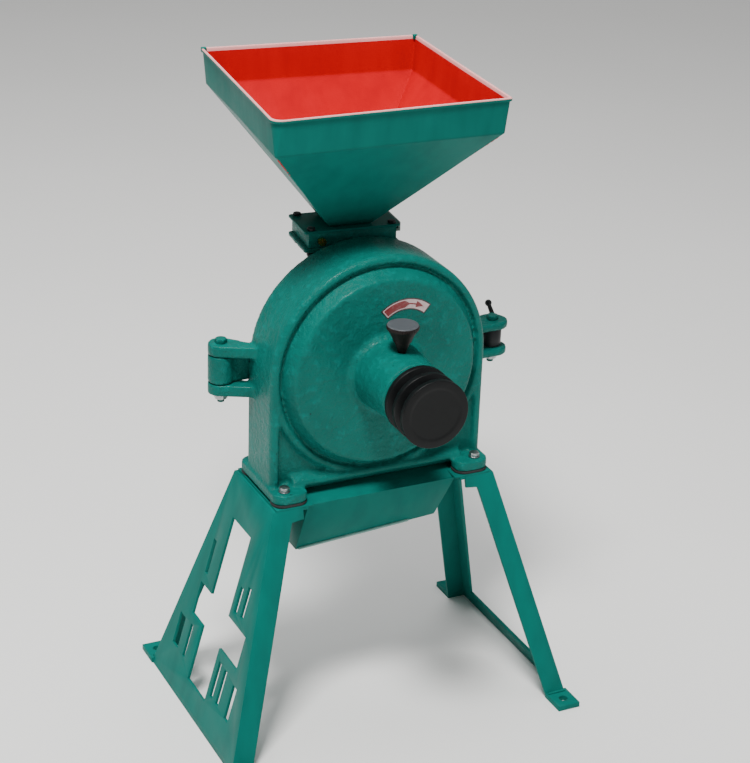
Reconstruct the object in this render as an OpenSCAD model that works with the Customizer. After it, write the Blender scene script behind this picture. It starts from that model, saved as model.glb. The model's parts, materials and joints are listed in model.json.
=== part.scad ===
// Small belt-driven hammer mill on a folded sheet stand.
// X runs along the front, Y from the pulley side to the door side, Z is up.
// The origin is on the floor, in the middle of the four foot holes.

/* [Stand] */
// Height of the stand's top face above the floor
stand_h = 340; // [300:5:420]
// How far the stand's top reaches past the casing on each side
stand_lip = 8; // [6:1:26]
// Width of the stand on the floor
stand_base_w = 524; // [460:4:620]
// Depth of the stand at its top
stand_top_d = 138; // [132:2:170]
// Depth of the stand on the floor
stand_base_d = 316; // [260:4:380]
// Sheet thickness of the side frames
stand_t = 4; // [3:0.5:5]
// Width of the flange folded along each leg
leg_flange = 31; // [24:1:40]
// Width of the flange folded in along the stand's top
top_flange = 52; // [46:1:58]
// Thickness of the four foot tabs
foot_t = 8; // [6:1:12]
// Length of a foot tab past its leg
foot_l = 36; // [30:1:50]
// Diameter of the hole in a foot tab
foot_hole_d = 13; // [9:0.5:15]

/* [Casing] */
// Outer radius of the casing
cas_r = 160; // [156:1:192]
// Height of the casing circle's lowest point above the stand's top
circle_lift = 16; // [14:1:30]
// Distance from the middle plane to the front edge of the arch
cas_front = 42; // [40:1:52]
// How far the front web is sunk behind that edge
web_sink = 10; // [6:1:12]
// Width of the flat front edge and its rounding together
rim_band = 11; // [10:0.5:12]
// Distance from the middle plane to the parting face
cas_back = 40; // [38:1:50]
// Casing wall thickness
wall = 8; // [6:0.5:9]
// Radius of the rounded front edge
cas_round = 9; // [4:0.5:9.5]
// How far the foot of the raised face's slope lies inside the casing's outer edge
cone_in = 15; // [14:1:18]
// Width of the slope round the raised face
slope_w = 13; // [9:1:16]
// How far the raised face stands off the web
plateau_h = 25; // [20:1:28]
// Thickness of the base flange and its lugs
base_t = 14; // [10:1:18]
// How far the holding-down bolts stand inside the casing's side
bolt_in = 15; // [12:1:18]
// Half the distance between the holding-down bolts along Y
bolt_y = 52.5; // [52:0.5:54]
// Thickness of the packing pads under the lugs
pad_t = 4; // [2:0.5:6]

/* [Bearing boss] */
// Wall of the boss round the bearings at its outer end
boss_wall = 14; // [12:0.5:17]
// How much wider the boss is where it leaves the raised face
boss_taper = 6; // [3:0.5:11]
// Length of the boss
boss_l = 85; // [80:1:100]
// Outer diameter of a bearing
brg_od = 62; // [58:1:62]
// Bore of a bearing
brg_id = 30; // [25:1:30]
// Width of a bearing
brg_w = 16; // [14:1:18]

/* [Drive] */
// Outside diameter of the pulley
pulley_d = 95; // [88:1:110]
// Width of one belt groove at the rim
groove_w = 15; // [11:0.5:17]
// Width of a pulley rim
rim_w = 8; // [6:0.5:10]
// Depth of a belt groove
groove_h = 13; // [9:0.5:15]
// Shaft diameter in the pulley
shaft_pulley_d = 28; // [24:1:28]
// Shaft diameter in the rotor
shaft_rotor_d = 26; // [22:1:26]

/* [Rotor] */
// Radius that the hammer tips sweep
tip_r = 115; // [108:1:118]
// Radius of the hammer pin circle
pin_circle_r = 62; // [60:1:66]
// Diameter of a hammer pin
pin_d = 12; // [10:0.5:13]
// Width of a hammer
hammer_w = 26; // [22:1:26]
// Thickness of a hammer
hammer_t = 5; // [4:0.5:6]
// Radius of the hub sleeve
hub_r = 27; // [22:1:27]
// Radius of the rotor plates
plate_r = 80; // [76:1:84]
// Distance between the rotor plates
plate_gap = 50; // [46:1:54]
// Gap between the hammer tips and the ring screen
screen_gap = 9; // [5:0.5:11]

/* [Door and clamp] */
// How far the door's edge lies inside the casing's
door_in = 4; // [2:1:8]
// Thickness of the door's rim
door_t = 8; // [6:0.5:10]
// Distance from the casing's side to the hinge pin
hinge_reach = 35; // [30:1:45]
// Height of the top of the hinge lugs above the shaft
hinge_top = 29; // [20:1:40]
// Distance from the casing's side to the clamp pin
clamp_reach = 54; // [46:1:64]
// Height of the top of the clamp lugs above the shaft
clamp_top = 8; // [0:1:16]
// Angle at which the released clamp bolt stands off its seat
clamp_rest = 35; // [30:1:50]

/* [Feed] */
// Place of the feed throat along Y
throat_y = 94; // [92:1:104]
// Small turn of the hopper and gate on their slack bolts
feed_turn = -5.7; // [-6:0.1:2]
// Width of the hopper's mouth
hopper_w = 314; // [260:2:400]
// Depth of the hopper's mouth
hopper_d = 330; // [260:2:400]
// Height of the hopper's slope
hopper_slope_h = 155; // [120:1:220]
// Height of the hopper's upright skirt
hopper_skirt_h = 49; // [30:1:80]
// How much wider the skirt is at its top than at its foot, on each side
hopper_flare = 4; // [0:0.5:8]
// Hopper sheet thickness
hopper_t = 2; // [1.5:0.5:3]
// Width of the throat opening
throat_w = 56; // [48:1:60]
// Depth of the throat opening
throat_d = 46; // [40:1:46]

/* [Hidden] */
$fn = 96;

green = "#0E8074";
steel = "#9AA0A4";
cast_grey = "#4A4D50";
black = "#1B1D1E";

// Clearances: running fits, loose fits, and gaps between bodies that pass each other
run = 0.04;
loose = 0.3;
pass = 0.6;

// What stands on, bolts to or hangs on the casing follows its radius
axis_h = cas_r + circle_lift;
stand_top_w = 2 * (cas_r + stand_lip);
bolt_x = cas_r - bolt_in;
cone_r = cas_r - cone_in;
plateau_r = cone_r - slope_w;
door_r = cas_r - door_in;
hinge_x = cas_r + hinge_reach;
clamp_x = cas_r + clamp_reach;

// The boss follows its bearings and the screen follows the hammers
boss_r = brg_od / 2 + boss_wall;
boss_root_r = boss_r + boss_taper;
screen_r = tip_r + screen_gap;

// Heights of the stack from the stand's top to the shaft
chute_t = 2.5;
cas_z = stand_h + chute_t + pad_t;
axis_z = stand_h + axis_h;
lug_top = cas_z + base_t;
sill_z = lug_top + 1;

// Leans of the stand's sides and of its legs
side_lean = atan((stand_base_w - stand_top_w) / 2 / stand_h);
leg_lean = atan((stand_base_d - stand_top_d) / 2 / stand_h);
side_len = stand_h / cos(side_lean);
leg_len = stand_h / cos(leg_lean);

// Foot holes sit in the middle of the tabs
foot_w = leg_flange + 3;
foot_x = stand_base_w / 2 - foot_w / 2 + 2;
foot_y = stand_base_d / 2 + foot_l / 2;

// Stations along the shaft
web_y = -(cas_front - web_sink);
plateau_y = web_y - plateau_h;
web_in = web_y + wall;
recess_y = plateau_y + wall;
recess_r = screen_r;
boss_end = plateau_y - boss_l;
brg_rear_y = plateau_y - 5;
brg_front_y = boss_end;
cover_t = 5;
pulley_gap = 2;
pulley_w = 2 * groove_w + 3 * rim_w;
pulley_back = boss_end - cover_t - pulley_gap;
pulley_front = pulley_back - pulley_w;
back_plate_t = 8;
spider_t = 8;
back_plate_y = recess_y + 4;
hub_y = back_plate_y + back_plate_t;
spider_y = hub_y + plate_gap;
spider_end = spider_y + spider_t;
shaft_end = spider_end + 14;

// Ball bearing insides
ring_t = 4;
ball_r = (brg_od - brg_id) / 4 - ring_t + 0.75;
ball_n = 8;
ball_circle_r = (brg_od + brg_id) / 4;

// Hammers: alternate pins carry them in alternate planes
hammer_planes = 5;
plane_pitch = plate_gap / hammer_planes;
pin_angles = [45, 135, 225, 315];
hammer_set = [
    for (p = [0 : 3]) for (k = [p % 2 : 2 : hammer_planes - 1]) [p, k]
];
pin_head_t = 2;
clip_t = 1.5;
hammer_reach = tip_r - pin_circle_r;
hammer_hole_r = pin_d / 2 + 0.08;

// Door stations
door_gap = 2;
door_y = cas_back + door_gap;
door_out = door_y + door_t;
spigot_r = screen_r + 12;
spigot_y = cas_back - 9;
pocket_r = screen_r - 6;
dome_r = pocket_r + 8;
dome_t = 8.5;
dome_y = door_out + dome_t;
back_wall = 10;

// Hinge and clamp
hinge_y = cas_back + 14;
hinge_ear_t = 16;
barrel_h = 40;
barrel_r = 18;
lug_pin_d = 10;
hinge_z = axis_z + hinge_top - 2 * hinge_ear_t - barrel_h - 2 * pass;
clamp_ear_t = 11;
clamp_gap = 29;
clamp_y = cas_back;
clamp_ear_r = 22;
clamp_z = axis_z + clamp_top - clamp_ear_t - clamp_gap / 2;
eye_r = 14;
eye_bolt_d = 12;
eye_bolt_l = 66;
seat_r = 38;
lever_nut_r = 13;
lever_arm = 31;
lever_tilt = 22;

// Feed stack
throat_x = 2;
duct_flange_t = 8;
plate_w = 138;
plate_d = 76;
housing_h = 20;
hopper_flange_t = 3.5;
duct_top = axis_z + door_r - 13;
housing_top = duct_top + housing_h;
hopper_foot = housing_top + hopper_flange_t;
hopper_brim = hopper_foot + hopper_slope_h;
hopper_top = hopper_brim + hopper_skirt_h;
feed_bolt_x = 58;
feed_bolt_y = 31;
feed_bolt_d = 6;
gate_t = 4;
gate_z = duct_top + 8;
gate_w = throat_d + 3;
gate_tail = throat_w / 2 + 24;
gate_nose = 70;

// Fasteners
m8 = 8;
m8_af = 13;
m8_head = 5.3;
m8_nut = 6.5;
washer_d = 16;
washer_t = 1.6;

// Points on an arc, counter-clockwise from a0 to a1
function arc(cx, cy, r, a0, a1, n) =
    [for (i = [0 : n]) let (a = a0 + (a1 - a0) * i / n) [cx + r * cos(a), cy + r * sin(a)]];

// A round bar along Y
module rod_y(r, y0, y1, x = 0, z = axis_z) {
    translate([x, y0, z]) rotate([-90, 0, 0]) cylinder(r = r, h = y1 - y0);
}

// A ring along Y
module ring_y(ro, ri, y0, y1, x = 0, z = axis_z) {
    difference() {
        rod_y(ro, y0, y1, x, z);
        rod_y(ri, y0 - 1, y1 + 1, x, z);
    }
}

// A box from its low corner to its high corner
module block(a, b) {
    translate(a) cube(b - a);
}

// A hexagon bar along Z, by its width across flats
module hex(af, h) {
    cylinder(d = af / cos(30), h = h, $fn = 6);
}

// A profile drawn in Y and Z, extruded along X
module along_x(x0, x1) {
    translate([x0, 0, 0]) rotate([90, 0, 90]) linear_extrude(x1 - x0) children();
}

// A flat rectangle with round corners, centred
module soft_rect(w, d, r) {
    square([w - 2 * r, d], center = true);
    square([w, d - 2 * r], center = true);
    for (sx = [-1, 1]) for (sy = [-1, 1])
        translate([sx * (w / 2 - r), sy * (d / 2 - r)]) circle(r);
}

// Repeats its children at the four holding-down bolts
module at_base_bolts(z) {
    for (sx = [-1, 1]) for (sy = [-1, 1])
        translate([sx * bolt_x, sy * bolt_y, z]) children();
}

// Places the feed parts on the throat, with their small turn
module at_throat(z) {
    translate([throat_x, throat_y, z]) rotate([0, 0, feed_turn]) children();
}

// Repeats its children at the feed stack's four bolts
module at_feed_bolts() {
    for (sx = [-1, 1]) for (sy = [-1, 1])
        translate([sx * feed_bolt_x, sy * feed_bolt_y, 0]) children();
}

// A hammer pin's place in X and Z
function pin_x(p) = pin_circle_r * cos(pin_angles[p]);
function pin_z(p) = axis_z + pin_circle_r * sin(pin_angles[p]);
function plane_y(k) = hub_y + (k + 0.5) * plane_pitch;

// ---- Stand ----

// Stepped cross window of the left frame: half widths and levels
cross_y = [-28, 37];
cross_z = [38, 285];
arm_y = [-90, 76];
arm_z = [120, 169];

// Motor slots: place along Y, lower end, upper end, width
motor_slots = [
    [68, 185, 236, 9], [-44, 181, 219, 9], [-65, 184, 229, 9],
    [101, 56, 104, 20], [67, 56, 106, 8], [-43, 53, 106, 9], [-64, 53, 105, 9],
    [-100, 50, 100, 13]
];

// Outline of a side frame in its own leaning plane
module side_outline() {
    polygon([
        [-stand_base_d / 2, 0], [stand_base_d / 2, 0],
        [stand_top_d / 2, side_len], [-stand_top_d / 2, side_len]
    ]);
}

// A rectangle on the side frame, given by its true heights
module side_window(y, z) {
    translate([y[0], z[0] / cos(side_lean)])
        square([y[1] - y[0], (z[1] - z[0]) / cos(side_lean)]);
}

// Leaning sheet of the right-hand side, drawn by its children
module lean_side() {
    translate([stand_base_w / 2, 0, 0]) rotate([0, -side_lean, 0])
        rotate([90, 0, 90]) translate([0, 0, -stand_t]) linear_extrude(stand_t) children();
}

// Front leg flange of the right-hand side, with its small gusset at the top
module leg_sheet() {
    translate([0, -stand_base_d / 2, 0]) rotate([-leg_lean, 0, 0]) rotate([90, 0, 0])
        translate([0, 0, -stand_t]) linear_extrude(stand_t) polygon([
            [stand_base_w / 2, 0], [stand_top_w / 2, leg_len],
            [stand_top_w / 2 - leg_flange - 13, leg_len],
            [stand_top_w / 2 - leg_flange - 13, leg_len - 16],
            [stand_top_w / 2 - leg_flange + 5, leg_len - 18],
            [stand_base_w / 2 - leg_flange, 0]
        ]);
}

// Right-hand side frame without its window
module side_frame() {
    difference() {
        union() {
            intersection() {
                union() {
                    lean_side() difference() {
                        side_outline();
                        children();
                    }
                    leg_sheet();
                    mirror([0, 1, 0]) leg_sheet();
                }
                block([0, -stand_base_d, 0], [stand_base_w, stand_base_d, stand_h]);
            }
            block([stand_top_w / 2 - top_flange, -stand_top_d / 2, stand_h - stand_t],
                  [stand_top_w / 2 - 1, stand_top_d / 2, stand_h]);
            for (s = [-1, 1]) foot_tab(s);
        }
        for (s = [-1, 1]) {
            translate([foot_x, s * foot_y, -1]) cylinder(d = foot_hole_d, h = foot_t + 2);
            translate([bolt_x, s * bolt_y, stand_h - stand_t - 1])
                cylinder(d = m8 + 1, h = stand_t + 2);
        }
    }
}

// One foot tab, reaching past the leg on side s
module foot_tab(s) {
    lo = stand_base_d / 2 - 5;
    hi = stand_base_d / 2 + foot_l;
    block([foot_x - foot_w / 2, min(s * lo, s * hi), 0], [foot_x + foot_w / 2, max(s * lo, s * hi), foot_t]);
}

module left_side_frame() {
    color(green) mirror([1, 0, 0]) side_frame() {
        side_window(cross_y, cross_z);
        side_window(arm_y, arm_z);
        for (m = motor_slots) side_window([m[0] - m[3] / 2, m[0] + m[3] / 2], [m[1], m[2]]);
    }
}

// Big window of the right frame: a border left along the legs and the floor
leg_border = 30;
floor_border = 24;
head_border = 20;

module right_side_frame() {
    bottom = floor_border;
    top = side_len - head_border;
    low_y = stand_base_d / 2 - (stand_base_d - stand_top_d) / 2 * bottom / side_len - leg_border;
    top_y = stand_base_d / 2 - (stand_base_d - stand_top_d) / 2 * top / side_len - leg_border;
    color(green) side_frame()
        polygon([[-low_y, bottom], [low_y, bottom], [top_y, top], [-top_y, top]]);
}

// ---- Discharge chute ----

chute_w = 2 * (bolt_x - 33);
chute_fold_y = cas_front + 18;
chute_fold_z = stand_h - 3;
chute_mouth_y = 20;
chute_mouth_z = stand_h - 94;
chute_back_y = 34;
chute_tilt = 5;
chute_taper = 8;

// Side profile of the chute, with its sheet t inside the outer face
module chute_profile(t) {
    polygon([
        [web_y + 1 + 1.2 * t, cas_z], [-chute_fold_y + 1.5 * t, chute_fold_z],
        [-chute_mouth_y + t, chute_mouth_z - 10], [chute_back_y - t, chute_mouth_z - 10],
        [chute_back_y + 2 - t, cas_z]
    ]);
}

// The chute's solid form: its ends lean in a little towards the mouth
module chute_form(t) {
    half = chute_w / 2 - t;
    intersection() {
        along_x(-half, half) chute_profile(t);
        translate([0, 2 * chute_fold_y, 0]) rotate([90, 0, 0]) linear_extrude(4 * chute_fold_y)
            polygon([
                [-half, cas_z + t], [-half, chute_fold_z], [-half + chute_taper, chute_mouth_z - 10 - t],
                [half - chute_taper, chute_mouth_z - 10 - t], [half, chute_fold_z], [half, cas_z + t]
            ]);
    }
}

module discharge_chute() {
    half = chute_w / 2;
    ear = stand_top_w / 2 - 5 - half;
    color(green) difference() {
        union() {
            chute_form(0);
            for (s = [-1, 1]) translate([s * (half + ear / 2 - 2), 0, stand_h])
                linear_extrude(chute_t) square([ear + 4, stand_top_d], center = true);
        }
        chute_form(chute_t);
        block([-half + chute_t, -20, cas_z - 3], [half - chute_t, 20, cas_z + 1]);
        // The mouth rises to the right, with a short step up at its end
        translate([-half, 0, chute_mouth_z]) rotate([0, -chute_tilt, 0])
            block([-20, -90, -60], [chute_w + 60, 90, 0]);
        translate([half - chute_taper - 6, -90, chute_mouth_z - 5]) rotate([0, 20, 0])
            block([0, 0, 0], [60, 180, 42]);
        at_base_bolts(stand_h - 1) cylinder(d = m8 + 1, h = chute_t + 2);
    }
}

module packing_pads() {
    color(black) for (sx = [-1, 1]) for (sy = [-1, 1]) difference() {
        translate([sx * lug_cx, sy * lug_cy, stand_h + chute_t])
            linear_extrude(pad_t) soft_rect(lug_w, lug_d, 15);
        translate([sx * bolt_x, sy * bolt_y, stand_h]) cylinder(d = m8 + 1, h = 10);
    }
}

// ---- Casing ----

lug_w = 50;
lug_d = 34;
lug_cx = cas_r + 3 - lug_w / 2;
lug_cy = bolt_y - 1.5;

// Half profile of the casing's skin, radius against Y
function skin() = concat(
    [[0, web_y], [cas_r - rim_band - 2, web_y], [cas_r - rim_band, -cas_front]],
    arc(cas_r - cas_round, -cas_front + cas_round, cas_round, -90, 0, 6),
    [[cas_r, cas_back], [0, cas_back]]
);

// Outer form of the casing: a turned arch on straight sides
module casing_form() {
    translate([0, 0, axis_z]) rotate([-90, 0, 0]) rotate_extrude() polygon(skin());
    for (s = [0, 1]) mirror([s, 0, 0])
        translate([0, 0, cas_z]) linear_extrude(axis_z - cas_z) polygon(skin());
    translate([0, web_y + 0.01, axis_z]) rotate([90, 0, 0])
        cylinder(r1 = cone_r, r2 = plateau_r, h = plateau_h);
    translate([0, plateau_y + 0.01, axis_z]) rotate([90, 0, 0])
        cylinder(r1 = boss_root_r, r2 = boss_r, h = boss_l);
    translate([0, plateau_y + 0.01, axis_z]) rotate([90, 0, 0])
        cylinder(r1 = boss_root_r + 7, r2 = boss_root_r - 0.5, h = 7);
}

// Base flange, corner lugs and the sills between them
module casing_base() {
    for (sx = [-1, 1]) {
        for (sy = [-1, 1]) translate([sx * lug_cx, sy * lug_cy, cas_z])
            linear_extrude(base_t) soft_rect(lug_w, lug_d, 15);
        translate([sx * (cas_r - 5.5), 0, cas_z + base_t / 2])
            cube([17, 2 * lug_cy, base_t], center = true);
    }
    sill_half = bolt_x - washer_d;
    along_x(-sill_half, sill_half) polygon([
        [web_y + 1, sill_z - 3], [-cas_front - 4, sill_z - 3],
        [-cas_front - 4, sill_z + 5], [web_y + 1, sill_z + 13]
    ]);
}

// Flat lug plate from the casing's side wall at x0 to a round end at the pin
module lug_plate(x0, y0, y1, px, py, r, h) {
    s = sign(px);
    n = [py - (y0 + y1) / 2, -(px - x0)] / norm([px - x0, py - (y0 + y1) / 2]);
    linear_extrude(h) {
        translate([px, py]) circle(r);
        polygon([[x0, y0], [x0, y1], [px, py] - s * r * n, [px, py] + s * r * n]);
        translate([min(x0, x0 - s * 6), y0]) square([6, y1 - y0]);
    }
}

// Hinge lugs on the left and clamp lugs on the right
module casing_lugs() {
    for (z = [hinge_z, hinge_z + hinge_ear_t + barrel_h + 2 * pass])
        translate([0, 0, z])
            lug_plate(-cas_r + 2, -cas_front + 58, cas_back - 0.5, -hinge_x, hinge_y, barrel_r, hinge_ear_t);
    for (z = [clamp_z - clamp_gap / 2 - clamp_ear_t, clamp_z + clamp_gap / 2])
        translate([0, 0, z])
            lug_plate(cas_r - 2, -cas_front + 58, cas_back - 0.5, clamp_x, clamp_y, clamp_ear_r, clamp_ear_t);
}

// Everything that is bored or cored out of the casing
module casing_cores() {
    in_r = cas_r - wall;
    rod_y(in_r, web_in, cas_back - back_wall);
    block([-in_r, web_in, cas_z - 1], [in_r, cas_back - back_wall, axis_z]);
    rod_y(recess_r, recess_y, web_in + 1);
    rod_y(spigot_r + 0.8, cas_back - back_wall - 1, cas_back + 1);
    ring_y(screen_r + 2.8, screen_r - 0.3, web_in - 1.5, web_in + 1);
    // Bearing bore, shaft hole and felt groove
    rod_y(brg_od / 2 + run, boss_end - 1, brg_rear_y);
    rod_y(felt_r - 6, brg_rear_y - 1, recess_y + 1);
    rod_y(felt_r + run, plateau_y - 1, plateau_y + 4);
    translate([0, cup_y, axis_z + brg_id / 2 + ring_t]) cylinder(r = 5 + run, h = boss_root_r);
    for (a = cover_angles) rotate_axis(a)
        rod_y(2.5 + run, boss_end - 1, boss_end + 14, 0, axis_z + cover_pcr);
    for (a = liner_angles) rotate_axis(a)
        rod_y(3 + run, recess_y - 5, recess_y + 1, 0, axis_z + liner_pcr);
    at_base_bolts(cas_z - 1) cylinder(d = m8 + 1, h = base_t + 2);
    translate([-hinge_x, hinge_y, hinge_z - 1])
        cylinder(d = lug_pin_d + 2 * run, h = hinge_top + 200);
    translate([clamp_x, clamp_y, clamp_z - 60]) cylinder(d = lug_pin_d + 2 * run, h = 120);
}

cup_y = plateau_y - boss_l / 2 - 0.5;
felt_r = brg_id / 2 + 9;
cover_angles = [90, 210, 330];
cover_pcr = (boss_r + brg_od / 2) / 2;
liner_angles = [30, 150, 270];
liner_pcr = (recess_r + plate_r) / 2 + 1;

// Turns its children about the shaft
module rotate_axis(a) {
    translate([0, 0, axis_z]) rotate([0, a, 0]) translate([0, 0, -axis_z]) children();
}

module casing() {
    color(green) difference() {
        union() {
            casing_form();
            casing_base();
            casing_lugs();
        }
        casing_cores();
    }
}

module casing_bolts() {
    grip = base_t + pad_t + chute_t + stand_t + washer_t;
    color(steel) at_base_bolts(lug_top + washer_t) {
        hex(m8_af, m8_head);
        translate([0, 0, -grip - 12]) cylinder(d = m8, h = grip + 12.5);
    }
}

module casing_washers() {
    color(steel) at_base_bolts(lug_top) difference() {
        cylinder(d = washer_d, h = washer_t);
        translate([0, 0, -1]) cylinder(d = m8 + 0.4, h = 4);
    }
}

module casing_nuts() {
    color(steel) at_base_bolts(stand_h - stand_t - m8_nut) difference() {
        hex(m8_af, m8_nut);
        translate([0, 0, -1]) cylinder(d = m8 + 2 * run, h = m8_nut + 2);
    }
}

// ---- Bearings, cover and seal ----

// A bearing ring turned from ro to ri, with the ball race cut in it
module race_ring(ro, ri, y) {
    translate([0, y, axis_z]) rotate([-90, 0, 0]) rotate_extrude() difference() {
        translate([ri, 0]) square([ro - ri, brg_w]);
        translate([ball_circle_r, brg_w / 2]) circle(ball_r + 0.1);
    }
}

module bearing_outer_rings() {
    color(steel) for (y = [brg_front_y, brg_rear_y - brg_w])
        race_ring(brg_od / 2, brg_od / 2 - ring_t, y);
}

module bearing_inner_rings() {
    color(steel) for (y = [brg_front_y, brg_rear_y - brg_w])
        race_ring(brg_id / 2 + ring_t, brg_id / 2 + run / 2, y);
}

module bearing_balls() {
    color("silver") for (y = [brg_front_y, brg_rear_y - brg_w]) for (i = [0 : ball_n - 1])
        translate([ball_circle_r * cos(i * 360 / ball_n), y + brg_w / 2,
                   axis_z + ball_circle_r * sin(i * 360 / ball_n)]) sphere(ball_r, $fn = 24);
}

module bearing_spacer() {
    color(steel) ring_y(brg_od / 2 - 0.1, brg_od / 2 - ring_t, brg_front_y + brg_w, brg_rear_y - brg_w);
}

module bearing_cover() {
    color(green) difference() {
        rod_y(boss_r - 1, boss_end - cover_t, boss_end);
        rod_y(shaft_pulley_d / 2 + 1.5, boss_end - cover_t - 1, boss_end + 1);
        for (a = cover_angles) rotate_axis(a)
            rod_y(2.5 + run, boss_end - cover_t - 1, boss_end + 1, 0, axis_z + cover_pcr);
    }
}

module cover_screws() {
    color(steel) for (a = cover_angles) rotate_axis(a) {
        rod_y(4, boss_end - cover_t - 1.4, boss_end - cover_t, 0, axis_z + cover_pcr);
        rod_y(2.5, boss_end - cover_t - 0.1, boss_end + 12, 0, axis_z + cover_pcr);
    }
}

module felt_seal() {
    color("#B9AE96") ring_y(felt_r, brg_id / 2 + 0.1, plateau_y - 1, plateau_y + 4);
}

module grease_cup_base() {
    color(cast_grey) translate([0, cup_y, axis_z]) {
        translate([0, 0, cup_stem]) cylinder(r = 5, h = cup_seat - cup_stem + 1);
        translate([0, 0, cup_seat]) cylinder(r1 = 6, r2 = 11, h = 13);
        translate([0, 0, cup_seat + 13]) cylinder(r = 8.5, h = 12);
    }
}

// Height of the boss's top at the grease cup
cup_seat = boss_root_r - (boss_root_r - boss_r) * (plateau_y - cup_y) / boss_l + 0.8;
cup_stem = brg_od / 2 + 5;
cup_cap_r = 22;

module grease_cup_cap() {
    color(black) translate([0, cup_y, axis_z + cup_seat + 13.4]) difference() {
        rotate_extrude() polygon([
            [0, 0], [12.5, 0], [cup_cap_r - 1, 17], [cup_cap_r, 19], [cup_cap_r, 23],
            [cup_cap_r - 1.2, 24.2], [0, 24.2]
        ]);
        translate([0, 0, -1]) cylinder(r = 8.5 + 0.08, h = 17);
    }
}

module wear_liner() {
    color(steel) difference() {
        ring_y(recess_r - 2, plate_r + 4, recess_y, recess_y + 4);
        for (a = liner_angles) rotate_axis(a) {
            rod_y(3 + run, recess_y - 1, recess_y + 5, 0, axis_z + liner_pcr);
            rod_y(5.5 + run, recess_y + 1.5, recess_y + 5, 0, axis_z + liner_pcr);
        }
    }
}

module liner_screws() {
    color(steel) for (a = liner_angles) rotate_axis(a) {
        rod_y(3, recess_y - 4.5, recess_y + 2, 0, axis_z + liner_pcr);
        rod_y(5.5, recess_y + 1.6, recess_y + 3.8, 0, axis_z + liner_pcr);
    }
}

// ---- Ring screen ----

screen_t = 2.5;
screen_cols = 30;

module ring_screen() {
    y0 = web_in - 1.4;
    y1 = spigot_y + 1.2;
    rows = [y0 + 8, (y0 + y1) / 2 + 2];
    color(steel) difference() {
        ring_y(screen_r + screen_t, screen_r, y0, y1);
        for (i = [0 : screen_cols - 1]) rotate_axis(i * 360 / screen_cols) for (y = rows)
            block([-3, y, axis_z + screen_r - 3],
                  [3, y + (y1 - y0) / 2 - 12, axis_z + screen_r + screen_t + 3]);
    }
}

// ---- Rotor ----

key_w = 8;
key_h = 7;

// A key or its seat on a shaft of radius r, grown by c
module key_bar(r, y0, y1, c) {
    block([-key_w / 2 - c, y0 - c, axis_z + r - 4 - c], [key_w / 2 + c, y1 + c, axis_z + r - 4 + key_h + c]);
}

module pulley_key_bar(c) {
    key_bar(shaft_pulley_d / 2, pulley_front + 10, pulley_back - 8, c);
}

module rotor_key_bar(c) {
    key_bar(shaft_rotor_d / 2, back_plate_y + 2, spider_end - 3, c);
}

module shaft() {
    mid = brg_id / 2 + 2.5;
    color(steel) difference() {
        union() {
            rod_y(shaft_pulley_d / 2, pulley_front + 4.5, brg_front_y);
            rod_y(brg_id / 2, brg_front_y, recess_y + 2);
            rod_y(mid, brg_front_y + brg_w, brg_rear_y - brg_w);
            rod_y(shaft_rotor_d / 2, recess_y + 1, spider_end);
            rod_y(shaft_rotor_d / 2 - 3, spider_end, shaft_end);
        }
        pulley_key_bar(run);
        rotor_key_bar(run);
    }
}

// Pulley profile: two V grooves between three rims
function groove_pts(y) = [
    [pulley_d / 2, y], [pulley_d / 2 - groove_h, y + groove_w * 0.28],
    [pulley_d / 2 - groove_h, y + groove_w * 0.72], [pulley_d / 2, y + groove_w]
];

module drive_pulley() {
    color(black) difference() {
        translate([0, pulley_front, axis_z]) rotate([-90, 0, 0]) rotate_extrude() polygon(concat(
            [[0, 0], [pulley_d / 2 - 1, 0], [pulley_d / 2, 1]],
            groove_pts(rim_w), groove_pts(2 * rim_w + groove_w),
            [[pulley_d / 2, pulley_w], [0, pulley_w]]
        ));
        rod_y(shaft_pulley_d / 2 + run, pulley_front + 4, pulley_back + 1);
        pulley_key_bar(run);
        block([-key_w / 2 - run, pulley_back - 10, axis_z], [key_w / 2 + run, pulley_back + 1, axis_z + shaft_pulley_d / 2 + 3 + run]);
        translate([0, pulley_back - rim_w / 2, axis_z]) rotate([0, 90, 0])
            cylinder(r = 3 + run, h = pulley_d);
    }
}

module pulley_key() {
    color(steel) pulley_key_bar(0);
}

module pulley_set_screw() {
    color(cast_grey) translate([shaft_pulley_d / 2 + 0.1, pulley_back - rim_w / 2, axis_z])
        rotate([0, 90, 0]) cylinder(r = 3, h = 20);
}

// Bores common to the parts threaded on the rotor end of the shaft
module rotor_bore(y0, y1) {
    rod_y(shaft_rotor_d / 2 + run, y0 - 1, y1 + 1);
    rotor_key_bar(run);
}

// The four hammer pin holes
module pin_holes(y0, y1) {
    for (p = [0 : 3]) rod_y(pin_d / 2 + run, y0 - 1, y1 + 1, pin_x(p), pin_z(p));
}

module rotor_back_plate() {
    color(cast_grey) difference() {
        rod_y(plate_r, back_plate_y, hub_y);
        rotor_bore(back_plate_y, hub_y);
        pin_holes(back_plate_y, hub_y);
    }
}

module rotor_hub_sleeve() {
    color(cast_grey) difference() {
        rod_y(hub_r, hub_y, spider_y);
        rotor_bore(hub_y, spider_y);
    }
}

module rotor_front_spider() {
    color(cast_grey) difference() {
        union() {
            rod_y(hub_r + 5, spider_y, spider_end);
            for (p = [0 : 3]) {
                rod_y(16, spider_y, spider_end, pin_x(p), pin_z(p));
                rotate_axis(90 - pin_angles[p])
                    block([-11, spider_y, axis_z + 4], [11, spider_end, axis_z + pin_circle_r - 10]);
            }
        }
        rotor_bore(spider_y, spider_end);
        pin_holes(spider_y, spider_end);
    }
}

module rotor_key() {
    color(steel) rotor_key_bar(0);
}

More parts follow.
